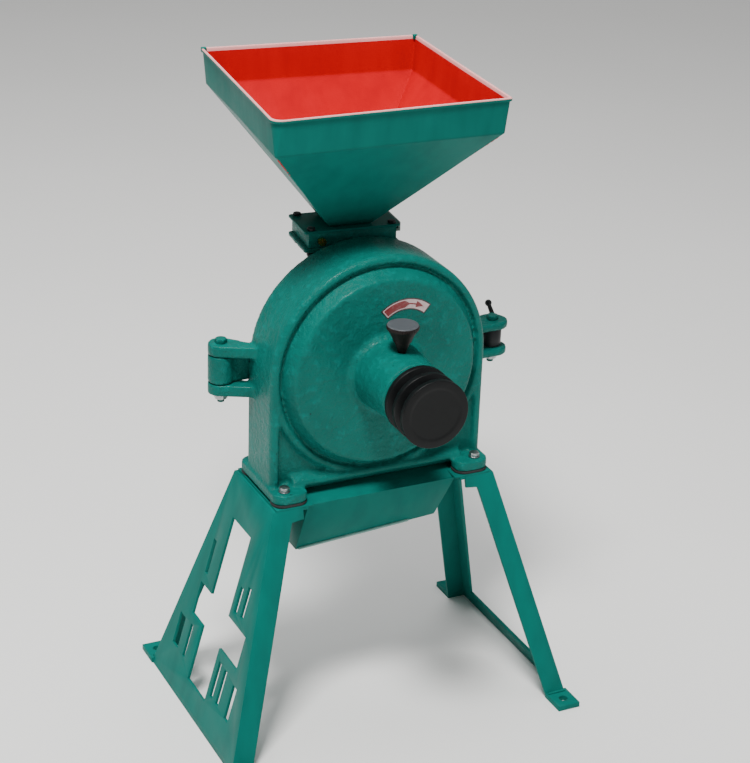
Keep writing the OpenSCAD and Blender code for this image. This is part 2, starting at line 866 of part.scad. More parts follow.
module rotor_lock_nut() {
    color(steel) difference() {
        union() {
            rod_y(19, spider_end, spider_end + 2.5);
            translate([0, spider_end + 2.4, axis_z]) rotate([-90, 0, 0]) hex(30, 9);
        }
        rod_y(shaft_rotor_d / 2 - 3 + run, spider_end - 1, shaft_end);
    }
}

module hammer_pins() {
    color(steel) for (p = [0 : 3]) {
        rod_y(pin_d / 2, back_plate_y - 1, spider_end + 3, pin_x(p), pin_z(p));
        rod_y(pin_d / 2 + 2, back_plate_y - pin_head_t, back_plate_y, pin_x(p), pin_z(p));
    }
}

// Tubes that fill each pin between its hammers
module pin_spacers() {
    half = hammer_t / 2 + 0.25;
    color(steel) for (p = [0 : 3]) {
        ks = [for (k = [p % 2 : 2 : hammer_planes - 1]) k];
        starts = concat([hub_y], [for (k = ks) plane_y(k) + half]);
        ends = concat([for (k = ks) plane_y(k) - half], [spider_y]);
        for (i = [0 : len(starts) - 1])
            ring_y(pin_d / 2 + 3.5, pin_d / 2 + run, starts[i], ends[i], pin_x(p), pin_z(p));
    }
}

module pin_clips() {
    color(steel) for (p = [0 : 3])
        ring_y(pin_d / 2 + 3, pin_d / 2 + run, spider_end, spider_end + clip_t, pin_x(p), pin_z(p));
}

// Swing hammer i, hanging straight down from its pin
module hammer(i) {
    p = hammer_set[i][0];
    k = hammer_set[i][1];
    color("#6E6A66") translate([pin_x(p), plane_y(k) - hammer_t / 2, pin_z(p)]) rotate([-90, 0, 0])
        difference() {
            union() {
                cylinder(r = hammer_w / 2, h = hammer_t);
                translate([-hammer_w / 2, 0, 0]) cube([hammer_w, hammer_reach, hammer_t]);
            }
            translate([0, 0, -1]) cylinder(r = hammer_hole_r, h = hammer_t + 2);
        }
}

// ---- Door ----

// Feed duct's side profile, radius of travel from the throat down to the door's eye
module duct_outer() {
    polygon([
        [door_out - 1, axis_z + 15], [dome_y + 8, axis_z + 15], [throat_y + 31, axis_z + 79],
        [throat_y + 31, duct_top - 1], [throat_y - 31, duct_top - 1],
        [throat_y - 31, axis_z + 92], [door_out - 1, axis_z + 88]
    ]);
}

module duct_inner() {
    polygon([
        [spigot_y, axis_z + 25], [dome_y + 4, axis_z + 25], [throat_y + 23, axis_z + 84],
        [throat_y + 23, duct_top + 1], [throat_y - 23, duct_top + 1],
        [throat_y - 23, axis_z + 84], [dome_y, axis_z + 76], [spigot_y, axis_z + 76]
    ]);
}

// Arm from the door's rim to the hinge barrel
module door_hinge_arm() {
    translate([0, 0, hinge_z + hinge_ear_t + pass]) linear_extrude(barrel_h) {
        translate([-hinge_x, hinge_y]) circle(barrel_r);
        polygon([
            [-door_r + 26, door_y + 0.5], [-hinge_x + 6, door_y + 0.5],
            [-hinge_x + 3, hinge_y + barrel_r - 0.5], [-door_r + 26, dome_y + 2]
        ]);
    }
}

// Forked lug that the clamp bolt drops into, with a seat rounded about the clamp pin
module door_clamp_lug() {
    h = clamp_gap - 2 * pass;
    difference() {
        translate([0, 0, clamp_z - h / 2]) union() {
            linear_extrude(h) polygon([
                [door_r - 30, door_y + 0.5], [door_r + 2, door_y + 0.5], [clamp_x - 30, clamp_y + 20],
                [clamp_x + 6, clamp_y + 20], [clamp_x + 6, clamp_y + 30], [clamp_x - 30, clamp_y + 34],
                [door_r - 30, dome_y]
            ]);
            intersection() {
                translate([clamp_x, clamp_y, 0]) cylinder(r = seat_r, h = h);
                block([clamp_x - 24, clamp_y + 22, 0], [clamp_x + 6, clamp_y + seat_r + 1, h]);
            }
        }
        block([clamp_x - eye_bolt_d / 2 - 1, clamp_y + 10, clamp_z - eye_bolt_d / 2 - 0.6],
              [clamp_x + 20, clamp_y + seat_r + 5, clamp_z + eye_bolt_d / 2 + 0.6]);
    }
}

module rear_door() {
    color(green) difference() {
        union() {
            rod_y(door_r, door_y, door_out);
            rod_y(spigot_r, spigot_y, door_y + 1);
            rod_y(dome_r, door_out - 1, dome_y);
            along_x(throat_x - 42, throat_x + 42) duct_outer();
            at_throat(duct_top - duct_flange_t) linear_extrude(duct_flange_t) soft_rect(plate_w, plate_d, 4);
            door_hinge_arm();
            door_clamp_lug();
        }
        rod_y(pocket_r, spigot_y - 1, door_out);
        ring_y(screen_r + 3, screen_r - 0.5, spigot_y - 1, spigot_y + 1.6);
        along_x(throat_x - throat_w / 2 - 4, throat_x + throat_w / 2 + 4) duct_inner();
        at_throat(duct_top - 40) at_feed_bolts() cylinder(d = feed_bolt_d + 0.6, h = 60);
        translate([-hinge_x, hinge_y, hinge_z]) cylinder(d = lug_pin_d + 4 * run, h = 120);
    }
}

module door_gasket() {
    color("#2A2A2A") ring_y(door_r - 2, spigot_r + run, cas_back + 0.3, door_y);
}

module hinge_pin() {
    top = hinge_z + 2 * hinge_ear_t + barrel_h + 2 * pass;
    color(steel) translate([-hinge_x, hinge_y, top]) {
        hex(15, 6);
        translate([0, 0, -(top - hinge_z) - 14]) cylinder(d = lug_pin_d, h = top - hinge_z + 14.5);
    }
}

module hinge_nut() {
    color(steel) translate([-hinge_x, hinge_y, hinge_z - 9]) difference() {
        hex(16, 8.7);
        translate([0, 0, -1]) cylinder(d = lug_pin_d + 2 * run, h = 12);
    }
}

module clamp_pin() {
    half = clamp_gap / 2 + clamp_ear_t;
    color(steel) translate([clamp_x, clamp_y, clamp_z + half]) {
        hex(15, 6);
        translate([0, 0, -2 * half - 14]) cylinder(d = lug_pin_d, h = 2 * half + 14.5);
    }
}

module clamp_pin_nut() {
    half = clamp_gap / 2 + clamp_ear_t;
    color(steel) translate([clamp_x, clamp_y, clamp_z - half - 9]) difference() {
        hex(16, 8.7);
        translate([0, 0, -1]) cylinder(d = lug_pin_d + 2 * run, h = 12);
    }
}

// Turns the clamp's parts to where the released bolt stands
module at_clamp() {
    translate([clamp_x, clamp_y, clamp_z]) rotate([0, 0, -clamp_rest]) children();
}

module clamp_eyebolt() {
    eye_h = clamp_gap - 4;
    color(cast_grey) at_clamp() difference() {
        union() {
            translate([0, 0, -eye_h / 2]) cylinder(r = eye_r, h = eye_h);
            rotate([-90, 0, 0]) cylinder(d = eye_bolt_d, h = eye_bolt_l);
        }
        translate([0, 0, -30]) cylinder(d = lug_pin_d + 4 * run, h = 60);
    }
}

module clamp_lever_nut() {
    nut_y = seat_r + pass;
    color(black) at_clamp() difference() {
        union() {
            translate([0, nut_y, 0]) rotate([-90, 0, 0]) cylinder(r = lever_nut_r, h = 5);
            translate([0, nut_y + 4, 0]) rotate([-90, 0, 0]) cylinder(r1 = 11, r2 = 9.5, h = 14);
            translate([0, nut_y + 11, 0]) rotate([0, -lever_tilt, 0]) {
                cylinder(r1 = 4, r2 = 3, h = lever_arm);
                translate([0, 0, lever_arm]) sphere(5, $fn = 32);
            }
        }
        rotate([-90, 0, 0]) cylinder(r = eye_bolt_d / 2 + run, h = eye_bolt_l + 10);
    }
}

// ---- Feed ----

module gate_housing() {
    half_w = plate_w / 2 - 6;
    slot_w = gate_w + 2 * loose;
    color(green) at_throat(duct_top) difference() {
        translate([-half_w, -plate_d / 2 + 1, 0]) cube([2 * half_w, plate_d - 2, housing_h]);
        translate([-throat_w / 2, -throat_d / 2, -1]) cube([throat_w, throat_d, housing_h + 2]);
        translate([-gate_tail - 1, -slot_w / 2, gate_z - duct_top - loose])
            cube([gate_tail + half_w + 2, slot_w, gate_t + 2 * loose]);
        translate([0, 0, -1]) at_feed_bolts() cylinder(d = feed_bolt_d + 0.6, h = housing_h + 2);
        translate([-gate_screw_x, -plate_d / 2, gate_z - duct_top + gate_t / 2]) rotate([-90, 0, 0])
            cylinder(r = 2.5 + run, h = 20);
    }
}

gate_screw_x = 46;

module feed_gate() {
    color("#8E9692") at_throat(gate_z) {
        translate([-gate_tail, -gate_w / 2, 0]) cube([gate_tail + gate_nose + 4, gate_w, gate_t]);
        translate([gate_nose, -gate_w / 2, 0]) cube([4, gate_w, 13]);
    }
}

module gate_screw() {
    reach = plate_d / 2 - 1 - gate_w / 2;
    color("#C9A24A") at_throat(gate_z + gate_t / 2)
        translate([-gate_screw_x, -plate_d / 2 + 1, 0]) rotate([-90, 0, 0]) {
            translate([0, 0, -9]) cylinder(r = 2.5, h = 9 + reach - 0.5);
            translate([0, 0, -9]) cylinder(r = 5.5, h = 6);
        }
}

// A four-sided taper between two rectangles
module taper(w0, d0, z0, w1, d1, z1) {
    hull() {
        translate([-w0 / 2, -d0 / 2, z0]) cube([w0, d0, 0.01]);
        translate([-w1 / 2, -d1 / 2, z1 - 0.01]) cube([w1, d1, 0.01]);
    }
}

module hopper() {
    t = hopper_t;
    rim = 2;
    foot_w2 = hopper_w - 2 * hopper_flare;
    foot_d2 = hopper_d - 2 * hopper_flare;
    brim = hopper_slope_h;
    top = brim + hopper_skirt_h;
    color(green) at_throat(hopper_foot) difference() {
        union() {
            translate([0, 0, -hopper_flange_t]) linear_extrude(hopper_flange_t)
                soft_rect(plate_w, plate_d, 4);
            taper(throat_w + 2 * t, throat_d + 2 * t, -0.5, foot_w2, foot_d2, brim);
            taper(foot_w2, foot_d2, brim - 0.02, hopper_w, hopper_d, top);
            translate([-hopper_w / 2 - rim, -hopper_d / 2 - rim, top - 5])
                cube([hopper_w + 2 * rim, hopper_d + 2 * rim, 5]);
        }
        taper(throat_w, throat_d, -0.6, foot_w2 - 2 * t, foot_d2 - 2 * t, brim);
        taper(foot_w2 - 2 * t, foot_d2 - 2 * t, brim - 0.03, hopper_w - 2 * t, hopper_d - 2 * t, top + 0.5);
        translate([-throat_w / 2, -throat_d / 2, -hopper_flange_t - 1]) cube([throat_w, throat_d, 10]);
        translate([0, 0, -hopper_flange_t - 1]) at_feed_bolts()
            cylinder(d = feed_bolt_d + 0.6, h = hopper_flange_t + 2);
    }
}

module hopper_bolts() {
    grip = hopper_flange_t + housing_h + duct_flange_t;
    color(black) at_throat(hopper_foot) at_feed_bolts() {
        hex(10, 4);
        translate([0, 0, -grip - 9]) cylinder(d = feed_bolt_d, h = grip + 9.2);
    }
}

module hopper_nuts() {
    color(black) at_throat(duct_top - duct_flange_t - 5) at_feed_bolts() difference() {
        hex(10, 5);
        translate([0, 0, -1]) cylinder(d = feed_bolt_d + 2 * run, h = 7);
    }
}

// ---- Label ----

label_c = [26, 47];
label_r = [40, 56];
label_a = [49, 132];

module direction_label() {
    color("#B3122A") translate([label_c[0], plateau_y - 0.5, axis_z + label_c[1]]) rotate([90, 0, 0])
        translate([0, 0, -0.5]) linear_extrude(0.5) intersection() {
            difference() {
                circle(label_r[1]);
                circle(label_r[0]);
            }
            polygon(concat([[0, 0]], arc(0, 0, 2 * label_r[1], label_a[0], label_a[1], 4)));
        }
}

left_side_frame();
right_side_frame();
discharge_chute();
packing_pads();
casing();
casing_bolts();
casing_washers();
casing_nuts();
bearing_outer_rings();
bearing_spacer();
bearing_cover();
cover_screws();
felt_seal();
grease_cup_base();
grease_cup_cap();
wear_liner();
liner_screws();
ring_screen();
direction_label();
hinge_pin();
hinge_nut();
clamp_pin();
clamp_pin_nut();
shaft();
drive_pulley();
pulley_key();
pulley_set_screw();
bearing_inner_rings();
rotor_back_plate();
rotor_front_spider();
rotor_hub_sleeve();
rotor_key();
rotor_lock_nut();
hammer_pins();
pin_spacers();
pin_clips();
bearing_balls();
hammer(0);  // hammer_1
hammer(1);  // hammer_2
hammer(2);  // hammer_3
hammer(3);  // hammer_4
hammer(4);  // hammer_5
hammer(5);  // hammer_6
hammer(6);  // hammer_7
hammer(7);  // hammer_8
hammer(8);  // hammer_9
hammer(9);  // hammer_10
rear_door();
door_gasket();
gate_housing();
feed_gate();
gate_screw();
hopper();
hopper_bolts();
hopper_nuts();
clamp_eyebolt();
clamp_lever_nut();
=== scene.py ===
import json
import math

import bmesh
import bpy
import numpy as np
from mathutils import Matrix, Vector


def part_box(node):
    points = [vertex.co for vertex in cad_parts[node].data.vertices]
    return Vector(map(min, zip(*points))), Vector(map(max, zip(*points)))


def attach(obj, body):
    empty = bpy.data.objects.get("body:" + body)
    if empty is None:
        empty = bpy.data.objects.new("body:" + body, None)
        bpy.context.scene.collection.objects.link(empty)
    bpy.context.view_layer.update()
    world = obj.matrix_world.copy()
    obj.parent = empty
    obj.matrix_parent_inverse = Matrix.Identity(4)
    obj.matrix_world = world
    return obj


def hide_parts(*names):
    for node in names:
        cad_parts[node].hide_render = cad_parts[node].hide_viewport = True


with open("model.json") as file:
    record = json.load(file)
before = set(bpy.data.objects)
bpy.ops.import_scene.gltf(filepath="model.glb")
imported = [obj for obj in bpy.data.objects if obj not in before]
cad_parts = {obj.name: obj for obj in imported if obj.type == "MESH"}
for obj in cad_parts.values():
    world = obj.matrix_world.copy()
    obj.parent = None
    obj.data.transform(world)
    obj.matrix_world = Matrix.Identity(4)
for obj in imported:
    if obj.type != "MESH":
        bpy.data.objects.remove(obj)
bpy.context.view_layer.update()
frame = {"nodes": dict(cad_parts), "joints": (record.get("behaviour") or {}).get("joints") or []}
mm = 0.001
print("frame loaded,", len(frame["nodes"]), "nodes")


# sRGB hex to the linear colour that a shader wants.
def linearColour(hexText):
    values = [int(hexText[i:i + 2], 16) / 255 for i in (1, 3, 5)]
    return [v / 12.92 if v <= 0.04045 else ((v + 0.055) / 1.055) ** 2.4 for v in values] + [1.0]


# Adds one shader node, sets it up, and links or sets each of its inputs.
def addNode(tree, kind, inputs=None, **settings):
    node = tree.nodes.new(kind)
    for key, value in settings.items():
        setattr(node, key, value)
    for key, value in (inputs or {}).items():
        if isinstance(value, bpy.types.NodeSocket):
            tree.links.new(value, node.inputs[key])
        else:
            node.inputs[key].default_value = value
    return node


# A new material with its shader, and the object coordinates that its patterns read.
def startMaterial(name):
    material = bpy.data.materials.new(name)
    material.use_nodes = True
    tree = material.node_tree
    shader = tree.nodes["Principled BSDF"]
    place = addNode(tree, "ShaderNodeTexCoord").outputs["Object"]
    return material, tree, shader, place


# The corner points of a CAD node's mesh, as an array.
def nodePoints(name):
    mesh = frame["nodes"][name].data
    points = np.empty(len(mesh.vertices) * 3)
    mesh.vertices.foreach_get("co", points)
    return points.reshape(-1, 3)


# Lowest and highest corners of each separate solid in a CAD node.
def solidBoxes(name):
    mesh = bmesh.new()
    mesh.from_mesh(frame["nodes"][name].data)
    bmesh.ops.remove_doubles(mesh, verts=mesh.verts, dist=1e-6)
    mesh.verts.ensure_lookup_table()
    seen, boxes = set(), []
    for start in mesh.verts:
        if start in seen:
            continue
        stack, island = [start], []
        seen.add(start)
        while stack:
            vert = stack.pop()
            island.append(vert.co[:])
            for edge in vert.link_edges:
                other = edge.other_vert(vert)
                if other not in seen:
                    seen.add(other)
                    stack.append(other)
        island = np.array(island)
        boxes.append((island.min(0), island.max(0)))
    mesh.free()
    return boxes


# Makes a mesh piece in place, shades it, and tells the frame what it rides on.
def newPiece(name, points, faces, materials, body, slotName, replaced=(), faceMaterials=None, sharp=35):
    mesh = bpy.data.meshes.new(name)
    mesh.from_pydata([tuple(p) for p in points], [], [tuple(f) for f in faces])
    for material in materials:
        mesh.materials.append(material)
    if faceMaterials is not None:
        mesh.polygons.foreach_set("material_index", np.array(faceMaterials, np.int32))
    work = bmesh.new()
    work.from_mesh(mesh)
    bmesh.ops.remove_doubles(work, verts=work.verts, dist=2e-6)
    bmesh.ops.recalc_face_normals(work, faces=work.faces)
    work.to_mesh(mesh)
    work.free()
    mesh.shade_smooth()
    mesh.set_sharp_from_angle(angle=math.radians(sharp))
    piece = bpy.data.objects.new(name, mesh)
    bpy.context.scene.collection.objects.link(piece)
    return register(piece, body, replaced)


# Rides a piece on its body and hides the CAD parts that it stands for.
def register(piece, body, replaced=()):
    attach(piece, body)
    if replaced:
        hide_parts(*replaced)
    return piece


# Quads over a grid of rows by columns of points; either way may close on itself.
def gridFaces(rows, columns, wrapRows, wrapColumns, first=0):
    i, j = np.meshgrid(
        np.arange(rows if wrapRows else rows - 1),
        np.arange(columns if wrapColumns else columns - 1), indexing="ij")
    i, j = i.ravel(), j.ravel()
    below, right = (i + 1) % rows, (j + 1) % columns
    quads = np.stack([i * columns + j, i * columns + right, below * columns + right, below * columns + j], 1)
    return quads + first


# Stacks several (points, faces) pairs into one pair.
def joinParts(parts):
    points, faces, count = [], [], 0
    for part, quads in parts:
        points.append(np.asarray(part))
        faces += [[int(v) + count for v in f] for f in quads]
        count += len(part)
    return np.concatenate(points), faces


# Surface of revolution. A point at (r, h) of the profile sweeps the circle centre + axis * h + r * (cos
# t, sin t) in the plane square to the axis. wave(t, h) adds to r.
def turnedSolid(profile, centre, axis, segments=96, wave=None):
    profile = np.asarray(profile, float)
    t = np.linspace(0, 2 * math.pi, segments, endpoint=False)
    axis = np.asarray(axis, float)
    side = np.array([0.0, 0.0, 1.0]) if abs(axis[2]) < 0.5 else np.array([1.0, 0.0, 0.0])
    other = np.cross(axis, side)
    r = np.repeat(profile[:, :1], segments, 1)
    if wave is not None:
        r = r + wave(t[None, :], profile[:, 1:2]) * (r > 1e-6)
    points = (np.asarray(centre)[None, None, :] + axis * profile[:, 1][:, None, None]
              + r[..., None] * (np.cos(t)[None, :, None] * side + np.sin(t)[None, :, None] * other))
    return points.reshape(-1, 3), gridFaces(len(profile), segments, False, True).tolist()


# Points that replace the corner b of the line a-b-c by an arc-like bend of that radius.
def roundCorner(a, b, c, radius, steps=4):
    a, b, c = (np.asarray(p, float) for p in (a, b, c))
    start = b + (a - b) / np.linalg.norm(a - b) * radius
    end = b + (c - b) / np.linalg.norm(c - b) * radius
    s = np.linspace(0, 1, steps + 1)[:, None]
    return ((1 - s) ** 2 * start + 2 * s * (1 - s) * b + s ** 2 * end).tolist()


# A profile with every inner corner rounded; the two ends stay as they are.
def softProfile(corners, radius, steps=3):
    points = [list(corners[0])]
    for a, b, c in zip(corners, corners[1:], corners[2:]):
        reach = 0.45 * min(math.dist(a, b), math.dist(b, c))
        points += roundCorner(a, b, c, min(radius, reach), steps)
    return points + [list(corners[-1])]


# A tube on a path: at each point a circle square to the path, with a radius that ripples along it as a
# weld bead's does. The ends are closed by shrinking to a point.
def tubeAlong(path, radius, sides=10, ripple=0.0, ripples=0):
    path = np.asarray(path, float)
    along = np.gradient(path, axis=0)
    along /= np.linalg.norm(along, axis=1)[:, None]
    helper = np.array([0.0, 0.0, 1.0]) if abs(along[0][2]) < 0.9 else np.array([1.0, 0.0, 0.0])
    side = np.cross(along, helper)
    side /= np.linalg.norm(side, axis=1)[:, None]
    other = np.cross(along, side)
    s = np.linspace(0, 1, len(path))
    closing = np.sqrt(np.clip(np.minimum(s, 1 - s) * 40, 0.0, 1))
    r = radius * (1 + ripple * np.sin(s * ripples * 2 * math.pi)) * closing
    t = np.linspace(0, 2 * math.pi, sides, endpoint=False)
    points = (path[:, None] + r[:, None, None]
              * (np.cos(t)[None, :, None] * side[:, None] + np.sin(t)[None, :, None] * other[:, None]))
    return points.reshape(-1, 3), gridFaces(len(path), sides, False, True).tolist()


colours = {
    "enamel": "#00695F", "enamelDeep": "#004F48", "enamelPale": "#00837B", "chip": "#10201E",
    # rim: pale pink for the hopper's folded hem, a painted highlight along its upward-facing top edge
    "red": "#BC0014", "redDeep": "#980010", "rim": "#E7A6A4",
    "black": "#0B0D0E", "dust": "#1C1E1F", "cup": "#1B1413", "cupTop": "#4C5055",
    "zinc": "#B4B7B8", "steel": "#A9ABAD", "iron": "#55575A", "hammer": "#6D6762",
    "rubber": "#17191A", "felt": "#A79C86", "brass": "#C6A052", "galvanised": "#8D9894",
    "filmRed": "#7E000C", "filmWhite": "#D2B8B8", "filmDark": "#2A0A12", "floor": "#F2F2F0",
}


# Brushed gloss enamel on sand-cast iron: a wet shine over a faintly pitted, wavy skin, thinner and darker
# in patches, with small chips that show dull iron.
def enamelOverCasting():
    material, tree, shader, place = startMaterial("enamel_over_casting")
    drift = addNode(tree, "ShaderNodeTexNoise", {"Vector": place, "Scale": 14.0, "Detail": 4.0})
    brush = addNode(tree, "ShaderNodeTexNoise", {
        "Vector": place, "Scale": 95.0, "Detail": 6.0, "Roughness": 0.62, "Distortion": 0.2})
    sand = addNode(tree, "ShaderNodeTexNoise", {"Vector": place, "Scale": 620.0, "Detail": 3.0})
    pits = addNode(tree, "ShaderNodeTexVoronoi", {"Vector": place, "Scale": 210.0})
    thin = addNode(tree, "ShaderNodeMapRange", {
        "Value": drift.outputs["Fac"], "From Min": 0.40, "From Max": 0.75, "To Max": 0.55})
    mixed = addNode(tree, "ShaderNodeMix", {
        0: thin.outputs[0], 6: linearColour(colours["enamel"]), 7: linearColour(colours["enamelDeep"])},
        data_type="RGBA")
    worn = addNode(tree, "ShaderNodeMapRange", {
        "Value": brush.outputs["Fac"], "From Min": 0.54, "From Max": 0.72, "To Max": 0.55})
    lifted = addNode(tree, "ShaderNodeMix", {
        0: worn.outputs[0], 6: mixed.outputs[2], 7: linearColour(colours["enamelPale"])}, data_type="RGBA")
    spot = addNode(tree, "ShaderNodeTexNoise", {"Vector": place, "Scale": 160.0, "Detail": 2.0})
    chip = addNode(tree, "ShaderNodeMapRange", {
        "Value": spot.outputs["Fac"], "From Min": 0.745, "From Max": 0.765})
    colour = addNode(tree, "ShaderNodeMix", {
        0: chip.outputs[0], 6: lifted.outputs[2], 7: linearColour(colours["chip"])}, data_type="RGBA")
    tree.links.new(colour.outputs[2], shader.inputs["Base Color"])
    gloss = addNode(tree, "ShaderNodeMapRange", {
        "Value": brush.outputs["Fac"], "From Min": 0.3, "From Max": 0.7, "To Min": 0.24, "To Max": 0.44})
    tree.links.new(gloss.outputs[0], shader.inputs["Roughness"])
    shader.inputs["IOR"].default_value = 1.20
    shader.inputs["Coat Weight"].default_value = 0.03
    shader.inputs["Coat Roughness"].default_value = 0.10
    hollow = addNode(tree, "ShaderNodeMapRange", {
        "Value": pits.outputs["Distance"], "From Min": 0.0, "From Max": 0.35})
    wave = addNode(tree, "ShaderNodeBump", {
        "Height": brush.outputs["Fac"], "Strength": 0.9, "Distance": 0.0030})
    grain = addNode(tree, "ShaderNodeBump", {
        "Height": sand.outputs["Fac"], "Strength": 0.5, "Distance": 0.0007, "Normal": wave.outputs[0]})
    pitted = addNode(tree, "ShaderNodeBump", {
        "Height": hollow.outputs[0], "Strength": 0.25, "Distance": 0.0006, "Normal": grain.outputs[0]})
    tree.links.new(pitted.outputs[0], shader.inputs["Normal"])
    return material


# Gloss enamel on mild steel sheet: smooth and even, with long faint brush streaks, a slight orange peel
# and a little dust that dulls it.
def enamelOnSheet(name, main, deep, pale):
    material, tree, shader, place = startMaterial(name)
    stretched = addNode(tree, "ShaderNodeMapping", {"Vector": place, "Scale": (26.0, 26.0, 5.0)})
    streak = addNode(tree, "ShaderNodeTexNoise", {
        "Vector": stretched.outputs[0], "Scale": 1.6, "Detail": 5.0})
    dust = addNode(tree, "ShaderNodeTexNoise", {
        "Vector": place, "Scale": 9.0, "Detail": 6.0, "Roughness": 0.62})
    peel = addNode(tree, "ShaderNodeTexNoise", {"Vector": place, "Scale": 330.0, "Detail": 2.0})
    tone = addNode(tree, "ShaderNodeMapRange", {
        "Value": streak.outputs["Fac"], "From Min": 0.40, "From Max": 0.80, "To Max": 0.45})
    mixed = addNode(tree, "ShaderNodeMix", {
        0: tone.outputs[0], 6: linearColour(main), 7: linearColour(deep)}, data_type="RGBA")
    dull = addNode(tree, "ShaderNodeMapRange", {
        "Value": dust.outputs["Fac"], "From Min": 0.55, "From Max": 0.85, "To Max": 0.18})
    colour = addNode(tree, "ShaderNodeMix", {
        0: dull.outputs[0], 6: mixed.outputs[2], 7: linearColour(pale)}, data_type="RGBA")
    tree.links.new(colour.outputs[2], shader.inputs["Base Color"])
    gloss = addNode(tree, "ShaderNodeMapRange", {
        "Value": dust.outputs["Fac"], "From Min": 0.3, "From Max": 0.7, "To Min": 0.30, "To Max": 0.50})
    tree.links.new(gloss.outputs[0], shader.inputs["Roughness"])
    shader.inputs["IOR"].default_value = 1.15
    sway = addNode(tree, "ShaderNodeBump", {
        "Height": streak.outputs["Fac"], "Strength": 0.12, "Distance": 0.002})
    skin = addNode(tree, "ShaderNodeBump", {
        "Height": peel.outputs["Fac"], "Strength": 0.16, "Distance": 0.0003, "Normal": sway.outputs[0]})
    tree.links.new(skin.outputs[0], shader.inputs["Normal"])
    return material


# Bare metal as turned, rolled or ground: a fine grain in the roughness and a thin film of oil and dirt
# that darkens it in patches.
def bareMetal(name, hexText, dark, roughLow, roughHigh, grainSize, scratch=0.12):
    material, tree, shader, place = startMaterial(name)
    grain = addNode(tree, "ShaderNodeTexNoise", {"Vector": place, "Scale": 1 / grainSize, "Detail": 4.0})
    film = addNode(tree, "ShaderNodeTexNoise", {"Vector": place, "Scale": 60.0, "Detail": 5.0})
    dirt = addNode(tree, "ShaderNodeMapRange", {
        "Value": film.outputs["Fac"], "From Min": 0.45, "From Max": 0.72, "To Max": 0.7})
    colour = addNode(tree, "ShaderNodeMix", {
        0: dirt.outputs[0], 6: linearColour(hexText), 7: linearColour(dark)}, data_type="RGBA")
    tree.links.new(colour.outputs[2], shader.inputs["Base Color"])
    rough = addNode(tree, "ShaderNodeMapRange", {
        "Value": grain.outputs["Fac"], "From Min": 0.3, "From Max": 0.7,
        "To Min": roughLow, "To Max": roughHigh})
    tree.links.new(rough.outputs[0], shader.inputs["Roughness"])
    shader.inputs["Metallic"].default_value = 1.0
    bump = addNode(tree, "ShaderNodeBump", {
        "Height": grain.outputs["Fac"], "Strength": scratch, "Distance": 0.0002})
    tree.links.new(bump.outputs[0], shader.inputs["Normal"])
    return material


# Satin black paint on a machined casting: nearly even, with grey dust in its low shine and fine turning
# marks under the paint.
def satinBlack(name, main, dusty, rough):
    material, tree, shader, place = startMaterial(name)
    dust = addNode(tree, "ShaderNodeTexNoise", {
        "Vector": place, "Scale": 34.0, "Detail": 6.0, "Roughness": 0.65})
    speck = addNode(tree, "ShaderNodeTexNoise", {"Vector": place, "Scale": 520.0, "Detail": 2.0})
    cover = addNode(tree, "ShaderNodeMapRange", {
        "Value": dust.outputs["Fac"], "From Min": 0.50, "From Max": 0.80, "To Max": 0.5})
    colour = addNode(tree, "ShaderNodeMix", {
        0: cover.outputs[0], 6: linearColour(main), 7: linearColour(dusty)}, data_type="RGBA")
    tree.links.new(colour.outputs[2], shader.inputs["Base Color"])
    gloss = addNode(tree, "ShaderNodeMapRange", {
        "Value": dust.outputs["Fac"], "From Min": 0.3, "From Max": 0.7,
        "To Min": rough - 0.08, "To Max": rough + 0.12})
    tree.links.new(gloss.outputs[0], shader.inputs["Roughness"])
    shader.inputs["Specular IOR Level"].default_value = 0.2
    bump = addNode(tree, "ShaderNodeBump", {
        "Height": speck.outputs["Fac"], "Strength": 0.25, "Distance": 0.0003})
    tree.links.new(bump.outputs[0], shader.inputs["Normal"])
    return material


# Rubber or felt: no shine, a fibrous or moulded skin and dust caught in it.
def softMatt(name, main, dusty, fibre):
    material, tree, shader, place = startMaterial(name)
    weave = addNode(tree, "ShaderNodeTexNoise", {
        "Vector": place, "Scale": 1 / fibre, "Detail": 6.0, "Roughness": 0.7})
    cover = addNode(tree, "ShaderNodeMapRange", {
        "Value": weave.outputs["Fac"], "From Min": 0.4, "From Max": 0.75})
    colour = addNode(tree, "ShaderNodeMix", {
        0: cover.outputs[0], 6: linearColour(main), 7: linearColour(dusty)}, data_type="RGBA")
    tree.links.new(colour.outputs[2], shader.inputs["Base Color"])
    shader.inputs["Roughness"].default_value = 0.85
    bump = addNode(tree, "ShaderNodeBump", {
        "Height": weave.outputs["Fac"], "Strength": 0.4, "Distance": 0.0005})
    tree.links.new(bump.outputs[0], shader.inputs["Normal"])
    return material


# Printed plastic film: even ink under a clear glossy skin, with light scuffs.
def printedFilm(name, main):
    material, tree, shader, place = startMaterial(name)
    scuff = addNode(tree, "ShaderNodeTexNoise", {"Vector": place, "Scale": 240.0, "Detail": 5.0})
    faded = addNode(tree, "ShaderNodeMapRange", {
        "Value": scuff.outputs["Fac"], "From Min": 0.45, "From Max": 0.8, "To Max": 0.35})
    colour = addNode(tree, "ShaderNodeMix", {
        0: faded.outputs[0], 6: linearColour(main), 7: linearColour("#8A7A7C")}, data_type="RGBA")
    tree.links.new(colour.outputs[2], shader.inputs["Base Color"])
    shader.inputs["Roughness"].default_value = 0.38
    shader.inputs["Coat Weight"].default_value = 0.3
    return material


